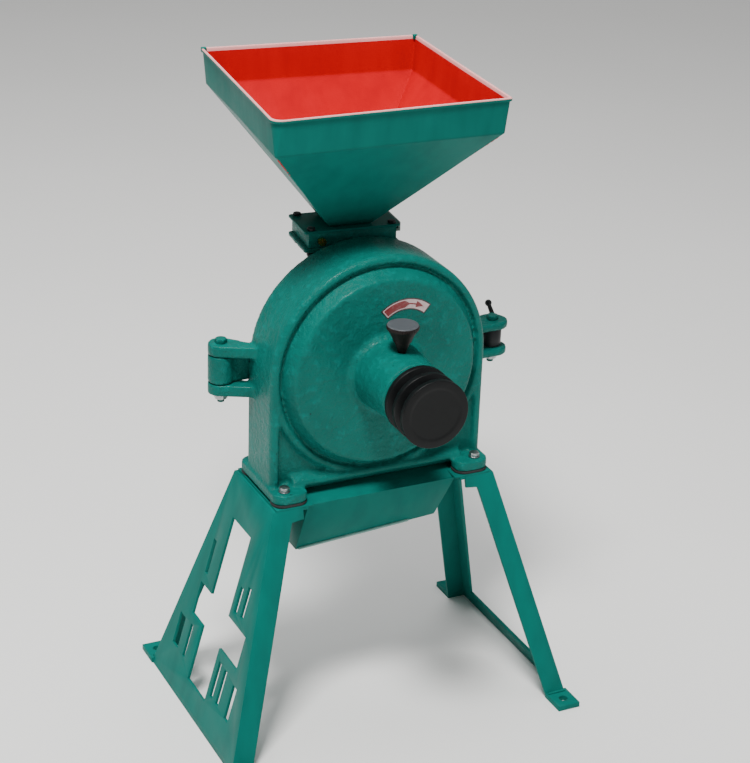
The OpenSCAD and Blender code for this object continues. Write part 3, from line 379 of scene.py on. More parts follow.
castPaint = enamelOverCasting()
sheetPaint = enamelOnSheet("enamel_on_sheet", colours["enamel"], colours["enamelDeep"], colours["enamelPale"])
redPaint = enamelOnSheet("red_enamel_on_sheet", colours["red"], colours["redDeep"], "#E01A1E")
# Pale pink for the hopper's hem: a painted highlight along its top edge, not the paint's own colour.
rimHighlightPaint = enamelOnSheet("rim_painted_highlight_enamel", colours["rim"], "#C98886", "#F0C9C6")
# Pale green for the chute's rolled lip: a painted highlight along its rounded edge.
lipHighlightPaint = enamelOnSheet("lip_painted_highlight_enamel", "#7FA8A0", "#4E8A81", "#A9C2BC")
pulleyPaint = satinBlack("satin_black_on_iron", colours["black"], colours["dust"], 0.42)
bracketPaint = satinBlack("black_oxide_steel", "#232628", "#45484A", 0.40)
cupPaint = satinBlack("brown_black_cup", colours["cup"], "#5A4B45", 0.50)
cupTopPaint = satinBlack("dull_grey_cup_top", colours["cupTop"], "#8F9296", 0.48)
zincSteel = bareMetal("zinc_plated_steel", colours["zinc"], "#55585A", 0.28, 0.46, 0.0016)
groundSteel = bareMetal("ground_steel", colours["steel"], "#5C5E60", 0.22, 0.38, 0.0012)
machinedIron = bareMetal("machined_grey_iron", colours["iron"], "#37393B", 0.42, 0.60, 0.0014, 0.3)
hammerSteel = bareMetal("quenched_plate", colours["hammer"], "#3B3532", 0.40, 0.62, 0.0018, 0.25)
bearingSteel = bareMetal("polished_bearing_steel", "#C6C8CB", "#9A9CA0", 0.08, 0.16, 0.0010, 0.03)
dullSheet = bareMetal("dull_galvanised_sheet", colours["galvanised"], "#59635F", 0.38, 0.56, 0.0030, 0.10)
turnedBrass = bareMetal("turned_brass", colours["brass"], "#6E5528", 0.22, 0.36, 0.0012)
padRubber = softMatt("moulded_rubber", colours["rubber"], "#3A3C3C", 0.0009)
sealFelt = softMatt("pressed_felt", "#8B8069", colours["felt"], 0.0007)
filmRed = printedFilm("film_red", colours["filmRed"])
filmWhite = printedFilm("film_white", colours["filmWhite"])
filmDark = printedFilm("film_border", colours["filmDark"])
print("materials made:", len(bpy.data.materials))


# The camera looks down on the pulley side from the left, and leans a little to one side.
cameraPlace = {"azimuth": -26.36, "elevation": 24.31, "roll": 2.09, "distance": 2.8384,
               "aim": (0.0116, 0.0, 0.4757), "focalShare": 2059.73 / 763, "sensor": 36.0}


# Camera at a distance from its aim along the azimuth and elevation, then rolled about its view line.
def placeCamera(place):
    az, el, roll = (math.radians(place[k]) for k in ("azimuth", "elevation", "roll"))
    back = Vector((math.sin(az) * math.cos(el), -math.cos(az) * math.cos(el), math.sin(el)))
    right = Vector((0, 0, 1)).cross(back).normalized()
    up = back.cross(right)
    turnedRight = right * math.cos(roll) + up * math.sin(roll)
    turnedUp = up * math.cos(roll) - right * math.sin(roll)
    data = bpy.data.cameras.new("camera")
    data.sensor_width = place["sensor"]
    data.lens = place["focalShare"] * place["sensor"]
    camera = bpy.data.objects.new("camera", data)
    pose = Matrix((turnedRight, turnedUp, back)).transposed().to_4x4()
    pose.translation = Vector(place["aim"]) + back * place["distance"]
    camera.matrix_world = pose
    bpy.context.scene.collection.objects.link(camera)
    bpy.context.scene.camera = camera


# A square area light at a place, turned to face its aim.
def softLight(name, at, aim, size, power, tint):
    data = bpy.data.lights.new(name, "AREA")
    data.shape = "SQUARE"
    data.size = size
    data.energy = power
    data.color = tint
    lamp = bpy.data.objects.new(name, data)
    lamp.location = at
    lamp.rotation_euler = (Vector(aim) - Vector(at)).to_track_quat("-Z", "Y").to_euler()
    bpy.context.scene.collection.objects.link(lamp)


# A matt pale floor sheet, a touch uneven in tone.
def paleFloor():
    material, tree, shader, place = startMaterial("pale_floor")
    tone = addNode(tree, "ShaderNodeTexNoise", {"Vector": place, "Scale": 1.2, "Detail": 2.0})
    colour = addNode(tree, "ShaderNodeMix", {
        0: tone.outputs["Fac"], 6: linearColour(colours["floor"]), 7: linearColour("#FAFAF9")},
        data_type="RGBA")
    tree.links.new(colour.outputs[2], shader.inputs["Base Color"])
    shader.inputs["Roughness"].default_value = 0.9
    mesh = bpy.data.meshes.new("floor")
    reach = 14.0
    corners = [(-reach, -reach, 0), (reach, -reach, 0), (reach, reach, 0), (-reach, reach, 0)]
    mesh.from_pydata(corners, [], [(0, 1, 2, 3)])
    mesh.materials.append(material)
    floor = bpy.data.objects.new("floor", mesh)
    bpy.context.scene.collection.objects.link(floor)


world = bpy.data.worlds.new("studio")
bpy.context.scene.world = world
world.use_nodes = True
world.node_tree.nodes["Background"].inputs["Color"].default_value = (1.0, 1.0, 1.0, 1.0)
world.node_tree.nodes["Background"].inputs["Strength"].default_value = 0.30
placeCamera(cameraPlace)
paleFloor()
softLight("top_light", (-0.3, 0.9, 3.4), (0, 0, 0.4), 2.4, 60.0, (1.0, 1.0, 1.0))
softLight("key_light", (-0.9, -1.0, 3.7), (0, 0, 0.45), 0.7, 165.0, (1.0, 0.99, 0.97))
softLight("fill_light", (2.4, -2.8, 1.4), (0, 0, 0.45), 2.0, 8.0, (0.96, 0.98, 1.0))
print("camera, floor and lights placed")


# A CAD node's mesh with its loose triangles merged and its flat faces joined.
def mergedCopy(name, newName):
    mesh = frame["nodes"][name].data.copy()
    mesh.name = newName
    work = bmesh.new()
    work.from_mesh(mesh)
    bmesh.ops.remove_doubles(work, verts=work.verts, dist=2e-6)
    bmesh.ops.dissolve_limit(work, angle_limit=math.radians(0.6), verts=work.verts, edges=work.edges)
    work.to_mesh(mesh)
    work.free()
    return mesh


# A copy of a CAD shape whose sharp edges are rounded, as sheared, bent or machined edges are.
def bentEdgePiece(name, newName, material, body, width, segments=2):
    piece = bpy.data.objects.new(newName, mergedCopy(name, newName))
    bpy.context.scene.collection.objects.link(piece)
    bevel = piece.modifiers.new("rounded edges", "BEVEL")
    bevel.width = width
    bevel.segments = segments
    bevel.limit_method = "ANGLE"
    bevel.angle_limit = math.radians(32)
    bevel.harden_normals = False
    bevel.use_clamp_overlap = True
    bakeModifiers(piece)
    piece.data.materials.clear()
    piece.data.materials.append(material)
    piece.data.shade_smooth()
    piece.data.set_sharp_from_angle(angle=math.radians(40))
    return register(piece, body, [name])


# Applies all of a piece's modifiers to its mesh.
def bakeModifiers(piece):
    graph = bpy.context.evaluated_depsgraph_get()
    mesh = bpy.data.meshes.new_from_object(piece.evaluated_get(graph))
    piece.modifiers.clear()
    old = piece.data
    piece.data = mesh
    bpy.data.meshes.remove(old)


# A casting: the CAD shape is rebuilt from small cells and relaxed a few times, so that every outer edge
# is rounded and every inner corner gets the fillet of a moulded part.
def castPiece(name, newName, material, body, voxel, rounds):
    piece = bpy.data.objects.new(newName, mergedCopy(name, newName))
    bpy.context.scene.collection.objects.link(piece)
    cells = piece.modifiers.new("cells", "REMESH")
    cells.mode = "VOXEL"
    cells.voxel_size = voxel
    relax = piece.modifiers.new("relax", "SMOOTH")
    relax.factor = 0.5
    relax.iterations = rounds
    bakeModifiers(piece)
    piece.data.materials.clear()
    piece.data.materials.append(material)
    piece.data.shade_smooth()
    print(newName, "has", len(piece.data.polygons), "faces")
    return register(piece, body, [name])


castings = {
    "casing": {"piece": "casing_casting", "body": "mill_body", "voxel": 0.0025, "rounds": 4},
    "rear_door": {"piece": "door_casting", "body": "door", "voxel": 0.0024, "rounds": 5},
}
for nodeName, spec in castings.items():
    castPiece(nodeName, spec["piece"], castPaint, spec["body"], spec["voxel"], spec["rounds"])

bentSheets = {
    "left_side_frame": ("left_frame_sheet", sheetPaint, "green_enamel", "mill_body", 1.3 * mm),
    "right_side_frame": ("right_frame_sheet", sheetPaint, "green_enamel", "mill_body", 1.3 * mm),
    "discharge_chute": ("chute_sheet", sheetPaint, "green_enamel", "mill_body", 0.9 * mm),
    "gate_housing": ("gate_housing_casting", castPaint, "cast_enamel", "door", 1.2 * mm),
    "feed_gate": ("feed_gate_bar", dullSheet, "galvanised", "feed_gate", 0.6 * mm),
    "packing_pads": ("pads_rounded", padRubber, "black_rubber", "mill_body", 0.7 * mm),
    "bearing_cover": ("bearing_cover_casting", castPaint, "cast_enamel", "mill_body", 0.9 * mm),
    "clamp_eyebolt": ("clamp_eyebolt_forged", bracketPaint, "black_paint", "clamp_eyebolt", 1.2 * mm),
    "clamp_lever_nut": ("clamp_lever_nut_forged", bracketPaint, "black_paint", "clamp_lever_nut", 1.0 * mm),
    "rotor_front_spider": ("rotor_spider_machined", machinedIron, "cast_iron", "rotor", 0.8 * mm),
    "rotor_back_plate": ("rotor_plate_machined", machinedIron, "cast_iron", "rotor", 0.8 * mm),
}
for nodeName, (pieceName, material, slotName, body, width) in bentSheets.items():
    bentEdgePiece(nodeName, pieceName, material, body, width)
for i in range(1, 11):
    bentEdgePiece(f"hammer_{i}", f"hammer_{i}_plate", hammerSteel, f"hammer_{i}", 0.6 * mm)
print("castings and sheets done")


# Seen from above, the corners are counted from the rear right one, anticlockwise.
hopperLook = {"sheet": 2.0 * mm, "hemHeight": 5.0 * mm, "hemOut": 1.6 * mm, "bend": 4.0 * mm,
              "cornerBend": (3.0 * mm, 3.0 * mm, 15.0 * mm, 4.0 * mm), "sag": 1.1 * mm, "wander": 0.5 * mm,
              "perCorner": 7, "perSide": 14, "slopeLevels": 14, "skirtLevels": 5,
              "neck": (30 * mm, 25 * mm), "wallIn": 2.0 * mm,  # half size of the neck, and the rim's overhang
              "waveAcross": (31, 23), "waveAlong": (27, 17), "seed": 7,  # the wander's waves
              "cornerShift": ((2, 0, 2), (1, 0, 2), (0, -5, -2), (8, -1, 5))}  # in mm
plateLook = {"thick": 3.5 * mm, "hole": (28 * mm, 23 * mm), "soft": 0.6 * mm,
             "holeCorner": 0.8 * mm, "corner": 4.0 * mm}
weldLook = {"foot": (26.6 * mm, 21.6 * mm), "lift": 4 * mm, "slopeHeight": 155 * mm, "skirtIn": 4.4 * mm,
            "slopeIn": 5.4 * mm, "below": 3 * mm, "radius": 1.3 * mm, "sides": 8, "ripple": 0.16,
            "ripples": 26, "points": 60}
tabLook = {"out": 0.4 * mm, "rise": 0.8 * mm, "half": 3.6 * mm, "corner": 1.2 * mm,
           "perCorner": 4, "perSide": 2, "sag": 0.0}
cornerSigns = ((1, 1), (-1, 1), (-1, -1), (1, -1))
gateAxis = next(j["axis"] for j in frame["joints"] if j["name"] == "feed_gate_slide")
feedTurn = math.atan2(gateAxis[1], gateAxis[0])


# Turns points into the hopper's own square frame.
def toFeedFrame(points, turn, centre):
    c, s = math.cos(turn), math.sin(turn)
    moved = np.asarray(points, float) - np.array([centre[0], centre[1], 0.0])
    return moved @ np.array([[c, -s, 0], [s, c, 0], [0, 0, 1]])


# Turns points of the hopper's square frame back into the object's frame.
def fromFeedFrame(points, turn, centre):
    c, s = math.cos(turn), math.sin(turn)
    turned = np.asarray(points, float) @ np.array([[c, s, 0], [-s, c, 0], [0, 0, 1]])
    return turned + np.array([centre[0], centre[1], 0.0])


rawHopper = toFeedFrame(nodePoints("hopper"), feedTurn, (0, 0))
feedCentre = fromFeedFrame([(rawHopper.min(0) + rawHopper.max(0)) / 2], feedTurn, (0, 0))[0][:2]
hopperLocal = toFeedFrame(nodePoints("hopper"), feedTurn, feedCentre)


# Half width and half depth of the points between two heights.
def halfSizeAt(points, low, high):
    near = points[(points[:, 2] >= low) & (points[:, 2] <= high)]
    return np.abs(near[:, 0]).max(), np.abs(near[:, 1]).max()


# Points round a rectangle, anticlockwise from the rear right corner, each corner an arc of its own
# radius.
def roundedRectangle(halfX, halfY, corners, look):
    n, m = look["perCorner"], look["perSide"]
    loop, arcs = [], []
    for k, ((sx, sy), r) in enumerate(zip(cornerSigns, corners)):
        t = np.linspace(k * math.pi / 2, (k + 1) * math.pi / 2, n)
        centre = np.array([sx * (halfX - r), sy * (halfY - r)])
        arcs.append(centre + r * np.stack([np.cos(t), np.sin(t)], 1))
    for k, arc in enumerate(arcs):
        loop.append(arc)
        s = np.linspace(0, 1, m + 2)[1:-1, None]
        side = arc[-1] * (1 - s) + arcs[(k + 1) % 4][0] * s
        outward = np.array([[0, 1], [-1, 0], [0, -1], [1, 0]][k], float)
        loop.append(side - outward * look["sag"] * np.sin(s * math.pi) * look.get("sagShare", 1.0))
    return np.concatenate(loop)


# Moves each point by the corner shifts, weighted by how near it is to each corner, as a mouth that was
# folded and welded by hand ends up a little out of square.
def pushCorners(points, halfX, halfY, share, look):
    u = np.clip(points[:, 0] / halfX, -1, 1)
    v = np.clip(points[:, 1] / halfY, -1, 1)
    moved = points.copy()
    for (sx, sy), shift in zip(cornerSigns, look["cornerShift"]):
        weight = (1 + sx * u) * (1 + sy * v) / 4 * min(1.0, share)
        moved += weight[:, None] * np.array(shift) * mm
    return moved


# One closed skin: up the inside of slope and skirt, over the folded hem, and down the outside. Each level
# is a rounded rectangle; the panels sag and wander by a millimetre.
def hopperShell(look):
    top = hopperLocal[:, 2].max()
    foot = hopperLocal[:, 2].min()
    levels = np.unique(np.round(hopperLocal[:, 2], 4))
    brim = levels[(levels > foot + 0.05) & (levels < top - 0.02)].min()
    neckTop = levels[(levels > foot) & (levels < foot + 0.01)].max()
    hemX, hemY = halfSizeAt(hopperLocal, top - 1e-4, top + 1e-4)
    brimX, brimY = halfSizeAt(hopperLocal, brim - 2e-4, brim + 2e-4)
    neckX, neckY = look["neck"]
    wallX, wallY = hemX - look["wallIn"], hemY - look["wallIn"]
    t = look["sheet"]
    bend = look["bend"]

    def wall(z):
        if z <= brim:
            share = (z - neckTop) / (brim - neckTop)
            return neckX + (brimX - neckX) * share, neckY + (brimY - neckY) * share
        share = (z - brim) / (top - brim)
        return brimX + (wallX - brimX) * share, brimY + (wallY - brimY) * share

    heights = np.concatenate([
        np.linspace(neckTop - 0.4 * mm, brim - bend, look["slopeLevels"]),
        [brim - bend / 2, brim, brim + bend / 2],
        np.linspace(brim + bend, top - look["hemHeight"], look["skirtLevels"])])
    rings, kinds = [], []
    for z in heights:
        x, y = wall(z)
        rings.append((x - t, y - t, z, 0))
    for rise, out in ((-1.2 * mm, -t), (-0.4 * mm, -t * 0.8), (0.0, -t * 0.35)):
        rings.append((wallX + out, wallY + out, top + rise, 1))
    for rise, out in ((0.0, 0.5), (-0.5 * mm, 0.9), (-1.6 * mm, 1.0), (-4.0 * mm, 1.0), (-4.8 * mm, 0.7)):
        hem = look["hemOut"] * out
        rings.append((wallX + hem, wallY + hem, top + rise, 1 if rise > -1 * mm else 2))
    for z in heights[::-1]:
        x, y = wall(z)
        rings.append((x, y, z, 2))
    rng = np.random.default_rng(look["seed"])
    phases = rng.uniform(0, 2 * math.pi, 6)
    points = []
    for x, y, z, kind in rings:
        open_ = min(1.0, max(0.0, (z - neckTop) / (brim - neckTop)))
        rise = min(1.0, max(0.0, (z - brim) / (top - brim)))
        corners = [max(1.2 * mm, min(r, 3 * mm) * open_ + max(0.0, r - 3 * mm) * rise)
                   for r in look["cornerBend"]]
        if kind == 0:
            corners = [max(0.6 * mm, r - t) for r in corners]
        stiff = 1.0 if z < top - look["hemHeight"] * 1.2 else 0.35
        loop = roundedRectangle(x, y, corners, {**look, "sagShare": open_ * stiff})
        drift = look["wander"] * open_ * stiff
        (acrossX, acrossZ), (alongY, alongZ) = look["waveAcross"], look["waveAlong"]
        sway = (drift * np.sin(loop[:, 0] * acrossX + z * acrossZ + phases[0])
                * np.sin(loop[:, 1] * alongY + z * alongZ + phases[1]))
        loop = loop * (1 + sway / max(x, y))[:, None]
        points.append(pushCorners(np.column_stack([loop, np.full(len(loop), z)]), x, y, open_, look))
        kinds.append(kind)
    points = np.array(points)
    rows, columns = points.shape[:2]
    faces = gridFaces(rows, columns, True, True)
    here = np.repeat(kinds, columns)  # 0 inside, 1 rim, 2 outside, for the level below each face
    above = np.repeat(np.roll(kinds, -1), columns)
    kindOf = np.where((above == 1) & (here == 0), 1, here)
    return fromFeedFrame(points.reshape(-1, 3), feedTurn, feedCentre), faces.tolist(), kindOf


# The hopper's foot plate: a rounded rectangle with a rectangular hole, its edges softened.
def flangePlate(look, plate):
    low = hopperLocal[:, 2].min()
    high = low + plate["thick"]
    near = hopperLocal[hopperLocal[:, 2] < low + 1e-4]
    outX, outY = np.abs(near[:, 0]).max(), np.abs(near[:, 1]).max()
    inX, inY = plate["hole"]
    soft, tight, wide = plate["soft"], plate["holeCorner"], plate["corner"]
    flat = {**look, "sag": 0.0}
    rings = [(inX, inY, low, tight), (inX, inY, high, tight),
             (outX - soft, outY - soft, high, wide), (outX, outY, high - soft, wide),
             (outX, outY, low + soft, wide), (outX - soft, outY - soft, low, wide)]
    points = []
    for x, y, z, r in rings:
        loop = roundedRectangle(x, y, [r] * 4, flat)
        points.append(np.column_stack([loop, np.full(len(loop), z)]))
    points = np.array(points)
    faces = gridFaces(points.shape[0], points.shape[1], True, True)
    return fromFeedFrame(points.reshape(-1, 3), feedTurn, feedCentre), faces.tolist()


shellPoints, shellFaces, shellKinds = hopperShell(hopperLook)
# Faces of kind 1, the folded hem, take the pale pink material: a painted highlight.
newPiece("hopper_shell", shellPoints, shellFaces, [redPaint, rimHighlightPaint, sheetPaint], "door", "hopper_enamel",
         ["hopper"], shellKinds, sharp=50)
platePoints, plateFaces = flangePlate(hopperLook, plateLook)
newPiece("hopper_foot_plate", platePoints, plateFaces, [sheetPaint], "door", "hopper_enamel", ["hopper"])


# Weld beads down the four inner corners, and the small lap tabs on the skirt's two rear corners.
def hopperSeams(look, weld, tabShape):
    top, foot = hopperLocal[:, 2].max(), hopperLocal[:, 2].min() + weld["lift"]
    brim = foot + weld["slopeHeight"]
    wallX, wallY = (np.abs(hopperLocal[:, k]).max() - weld["skirtIn"] for k in (0, 1))
    footX, footY = weld["foot"]
    beads, tabs = [], []
    for k, (sx, sy) in enumerate(cornerSigns):
        s = np.linspace(0, 1, weld["points"])[:, None]
        shift = np.array(look["cornerShift"][k]) * mm
        low = np.array([sx * footX, sy * footY, foot])
        high = shift + np.array([
            sx * (wallX - weld["slopeIn"]), sy * (wallY - weld["slopeIn"]), brim - weld["below"]])
        path = fromFeedFrame(low * (1 - s) + high * s, feedTurn, feedCentre)
        beads.append(tubeAlong(path, weld["radius"], weld["sides"], weld["ripple"], weld["ripples"]))
        tab = roundedTab(sx * (wallX + tabShape["out"]) + shift[0], sy * (wallY + tabShape["out"]) + shift[1],
                         top + tabShape["rise"] + shift[2], tabShape)
        if sy > 0:
            tabs.append((fromFeedFrame(tab[0], feedTurn, feedCentre), tab[1]))
    return joinParts(beads), joinParts(tabs)


# A small folded tab on a skirt corner: a flat pillow, a closed grid of rounded rectangles.
def roundedTab(x, y, top, look):
    half = look["half"]
    rings = []
    for share, z in ((0.1, -6.6), (0.85, -6.4), (1.0, -5.6), (1.0, -0.4), (0.85, 0.0), (0.1, 0.0)):
        loop = roundedRectangle(half * share, half * share, [look["corner"] * share] * 4, look)
        rings.append(np.column_stack([loop + np.array([x, y]), np.full(len(loop), top + z * mm)]))
    rings = np.array(rings)
    return rings.reshape(-1, 3), gridFaces(rings.shape[0], rings.shape[1], False, True).tolist()


seamPart, tabPart = hopperSeams(hopperLook, weldLook, tabLook)
newPiece("hopper_inner_welds", *seamPart, [redPaint], "door", "hopper_enamel")
newPiece("hopper_corner_tabs", *tabPart, [sheetPaint], "door", "hopper_enamel")
print("hopper done")


pulleyLook = {"edge": 1.0 * mm, "faceDish": 0.7 * mm, "segments": 128,
              "groove": 15 * mm, "rim": 8 * mm, "deep": 13 * mm, "bore": 14.2 * mm, "web": 5 * mm}


# Turned profile of the belt pulley: a closed face with a faint dish, three rims and two V grooves.
def pulleyBody(look):
    low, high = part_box("drive_pulley")
    centre = (low + high) / 2
    radius = (high.z - low.z) / 2
    length = high.y - low.y
    groove, rim, deep, dish = (look[k] for k in ("groove", "rim", "deep", "faceDish"))
    bore, web = look["bore"], look["web"]
    corners = [(0.0001, dish), (radius * 0.72, dish), (radius * 0.80, 0.0), (radius, 0.0)]
    for k in range(2):
        start = rim + k * (groove + rim)
        corners += [(radius, start), (radius - deep, start + groove * 0.28),
                    (radius - deep, start + groove * 0.72), (radius, start + groove)]
    corners += [(radius, length), (radius * 0.42, length), (bore, length), (bore, web), (0.0001, web)]
    profile = softProfile(corners, look["edge"])
    return turnedSolid(profile, (centre.x, low.y, centre.z), (0, 1, 0), look["segments"])


newPiece("pulley_turned", *pulleyBody(pulleyLook), [pulleyPaint], "rotor", "black_paint",
         ["drive_pulley"], sharp=50)

cupLook = {"knurls": 36, "knurl": 0.28 * mm, "segments": 144, "edge": 0.7 * mm,
           "waist": 12.4 * mm, "lipIn": 1.6 * mm, "flare": 1.35, "bore": 8.6 * mm, "boreDeep": 15.5 * mm}


# Screw cap of the grease cup: a bell that flares upwards to a knurled band and a flat top.
def greaseCupCap(look):
    low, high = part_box("grease_cup_cap")
    centre = (low + high) / 2
    radius = (high.x - low.x) / 2
    h = high.z - low.z
    s = np.linspace(0, 1, 14)
    waist, bore, boreDeep = look["waist"], look["bore"], look["boreDeep"]
    flare = [(waist + (radius - look["lipIn"] - waist) * v ** look["flare"], h * 0.70 * v) for v in s]
    band = radius - 0.35 * mm
    corners = [(bore, 0.0)] + flare + [
        (band, h * 0.76), (band, h * 0.93), (radius - 1.8 * mm, h),
        (radius * 0.86, h), (radius * 0.80, h - 0.6 * mm), (0.0001, h - 0.5 * mm)]
    profile = softProfile(corners, look["edge"], 2)

    def knurled(t, height):
        return look["knurl"] * np.cos(look["knurls"] * t) * (height > h * 0.72) * (height < h * 0.95)

    foot = (centre.x, centre.y, low.z)
    outside = turnedSolid(profile, foot, (0, 0, 1), look["segments"], knurled)
    inner = [(0.0001, boreDeep), (bore, boreDeep), (bore, 0.0)]
    inside = turnedSolid(inner, foot, (0, 0, 1), look["segments"])
    return joinParts([outside, inside]), low.z + h * 0.95


capPart, capTopZ = greaseCupCap(cupLook)
capMiddles = capPart[0][np.array([f[0] for f in capPart[1]]), 2]
newPiece("grease_cap_bell", *capPart, [cupPaint, cupTopPaint], "grease_cup_cap", "black_paint",
         ["grease_cup_cap"], (capMiddles > capTopZ).astype(int))
bentEdgePiece("grease_cup_base", "grease_cup_stem", cupPaint, "mill_body", 0.5 * mm)
print("pulley and grease cup done")


fastenerLook = {"segments": 48, "chamfer": 0.9, "edge": 0.4 * mm, "pitch": 1.25 * mm, "shankSides": 24,
                "washerBore": 4.2 * mm, "washerSides": 64}
# In the order of making: a set with a head is bolts and one with a bore is nuts; bore and shank are radii.
fastenerSets = {
    "casing_bolts": {"finish": zincSteel, "slot": "zinc_steel", "body": "mill_body",
                     "flats": 13 * mm, "head": 5.3 * mm, "shank": 4 * mm},
    "casing_nuts": {"finish": zincSteel, "slot": "zinc_steel", "body": "mill_body",
                    "flats": 13 * mm, "bore": 4.04 * mm},
    "hopper_bolts": {"finish": bracketPaint, "slot": "black_paint", "body": "door",
                     "flats": 10 * mm, "head": 4 * mm, "shank": 3 * mm},
    "hopper_nuts": {"finish": bracketPaint, "slot": "black_paint", "body": "door",
                    "flats": 10 * mm, "bore": 3.04 * mm},
    "hinge_pin": {"finish": castPaint, "slot": "zinc_steel", "body": "mill_body",
                  "flats": 15 * mm, "head": 6 * mm, "shank": 5 * mm},
    "hinge_nut": {"finish": zincSteel, "slot": "zinc_steel", "body": "mill_body",
                  "flats": 16 * mm, "bore": 5.04 * mm},
    "clamp_pin": {"finish": castPaint, "slot": "zinc_steel", "body": "mill_body",
                  "flats": 15 * mm, "head": 6 * mm, "shank": 5 * mm},
    "clamp_pin_nut": {"finish": zincSteel, "slot": "zinc_steel", "body": "mill_body",
                      "flats": 16 * mm, "bore": 5.04 * mm},
}


# A hexagon bar on Z with its corners chamfered: at angle t its radius is the smaller of the hexagon's and
# the chamfer cone's, ring by ring.
def hexPrism(centre, low, high, acrossFlats, look, bore=0.0001):
    t = np.linspace(0, 2 * math.pi, look["segments"], endpoint=False)
    flat = acrossFlats / 2 / np.cos((t + math.pi / 6) % (math.pi / 3) - math.pi / 6)
    cone = acrossFlats / 2 * 1.02
    rings = []
    chamfer = look["chamfer"] * mm
    for share, z in ((None, low), (1.0, low), (1.14, low + chamfer), (1.14, high - chamfer),
                     (1.0, high - 0.15 * mm), (0.93, high), (None, high)):
        r = np.full(len(t), bore) if share is None else np.minimum(flat, cone * share)
        x, y = centre[0] + r * np.cos(t), centre[1] + r * np.sin(t)
        rings.append(np.column_stack([x, y, np.full(len(t), z)]))
    rings = np.array(rings)
    return rings.reshape(-1, 3), gridFaces(len(rings), len(t), bore > 1e-3, True).tolist()


# A shank whose radius rises and falls with height, as rolled threads do.
def threadedShank(centre, low, high, radius, pitch, look):
    turns = max(3, int((high - low) / pitch))
    z = np.linspace(low, high, turns * 4 + 1)
    r = radius - 0.35 * mm * (0.5 - 0.5 * np.cos((z - low) / (high - low) * turns * 2 * math.pi))
    flank = [(a, b - low) for a, b in zip(r, z)][1:]
    profile = [(0.0001, 0.0), (radius - 1.0 * mm, 0.0)] + flank + [(0.0001, high - low)]
    return turnedSolid(profile, (centre[0], centre[1], low), (0, 0, 1), look["shankSides"])


# Hexagon bolts, heads up, or hexagon nuts on Z, in the places of a CAD node's solids.
def fastenerSet(node, spec, look):
    parts = []
    for low, high in solidBoxes(node):
        centre = ((low + high) / 2)[:2]
        if "bore" in spec:
            parts.append(hexPrism(centre, low[2], high[2], spec["flats"], look, spec["bore"]))
            continue
        under = high[2] - spec["head"]
        parts.append(hexPrism(centre, under, high[2], spec["flats"], look))
        parts.append(threadedShank(centre, low[2], under + 0.2 * mm, spec["shank"], look["pitch"], look))
    return newPiece(node + "_hex", *joinParts(parts), [spec["finish"]], spec["body"], spec["slot"], [node])


for nodeName, spec in fastenerSets.items():
    fastenerSet(nodeName, spec, fastenerLook)


# Round washers with softened edges, turned on Z.
def washerSet(look):
    parts = []
    for low, high in solidBoxes("casing_washers"):
        centre = (low + high) / 2
        outer, bore, h = (high[0] - low[0]) / 2, look["washerBore"], high[2] - low[2]
        corners = [(bore, h / 2), (bore, 0), (outer, 0), (outer, h), (bore, h), (bore, h / 2)]
        foot = (centre[0], centre[1], low[2])
        parts.append(turnedSolid(softProfile(corners, look["edge"]), foot, (0, 0, 1), look["washerSides"]))
    return newPiece("casing_washers_turned", *joinParts(parts), [groundSteel], "mill_body", "zinc_steel",
                    ["casing_washers"])


washerSet(fastenerLook)
print("fasteners done")


labelLook = {"radii": (40 * mm, 56 * mm), "angles": (132.0, 49.0), "border": 1.6 * mm, "arrowSteps": 160,
             "film": 0.3 * mm, "ink": 0.1 * mm, "borderIn": 0.2 * mm, "fieldIn": 0.1 * mm}


# A thin strip along an arc in the front plane. halfWidth(s) narrows it about its middle radius, with s
# running from 0 at the first angle to 1 at the last.
def arcStrip(centre, radii, angles, yFace, thick, halfWidth=None, steps=60):
    s = np.linspace(0, 1, steps)
    a = np.radians(angles[0] + (angles[1] - angles[0]) * s)
    middle = (radii[0] + radii[1]) / 2
    half = np.full(steps, (radii[1] - radii[0]) / 2) if halfWidth is None else halfWidth(s)
    loops = []
    low, high, yBack = middle - half, middle + half, yFace + thick
    for r, y in ((low, yFace), (high, yFace), (high, yBack), (low, yBack)):
        x, z = centre[0] + r * np.cos(a), centre[1] + r * np.sin(a)
        loops.append(np.column_stack([x, np.full(steps, y), z]))
    points = np.stack(loops, 1)
    ends = [[0, 1, 2, 3], [(steps - 1) * 4 + k for k in (3, 2, 1, 0)]]
    faces = gridFaces(steps, 4, False, True).tolist() + ends
    return points.reshape(-1, 3), faces


# Half width of the direction arrow: a broad tail, a thin shaft, and a head that narrows to a point.
def arrowHalf(s):
    tail = np.where(s < 0.46, 5.0, np.interp(s, [0.46, 0.56], [5.0, 0.9]))
    shaft = np.where((s > 0.56) & (s < 0.72), 0.9, tail)
    head = np.where(s >= 0.72, np.interp(s, [0.72, 0.90], [4.6, 0.05]), shaft)
    return head * mm


low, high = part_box("direction_label")
inner, outer = labelLook["radii"]
first, last = labelLook["angles"]
border = labelLook["border"]
arcMiddle = outer * (math.cos(math.radians(first)) + math.cos(math.radians(last))) / 2
labelCentre = ((low.x + high.x) / 2 - arcMiddle, high.z - outer)
edgeTurn = math.degrees(border / outer)
newPiece("label_border", *arcStrip(labelCentre, (inner, outer), (first, last), low.y + labelLook["borderIn"],
         labelLook["film"]), [filmDark], "mill_body", "label_film", ["direction_label"])
newPiece("label_field", *arcStrip(labelCentre, (inner + border, outer - border),
         (first - edgeTurn, last + edgeTurn), low.y + labelLook["fieldIn"], labelLook["ink"]), [filmWhite],
         "mill_body", "label_film")
newPiece("label_arrow", *arcStrip(labelCentre, (inner, outer), (first - edgeTurn * 2, last + edgeTurn), low.y,
         labelLook["ink"], arrowHalf, labelLook["arrowSteps"]), [filmRed], "mill_body", "label_film")


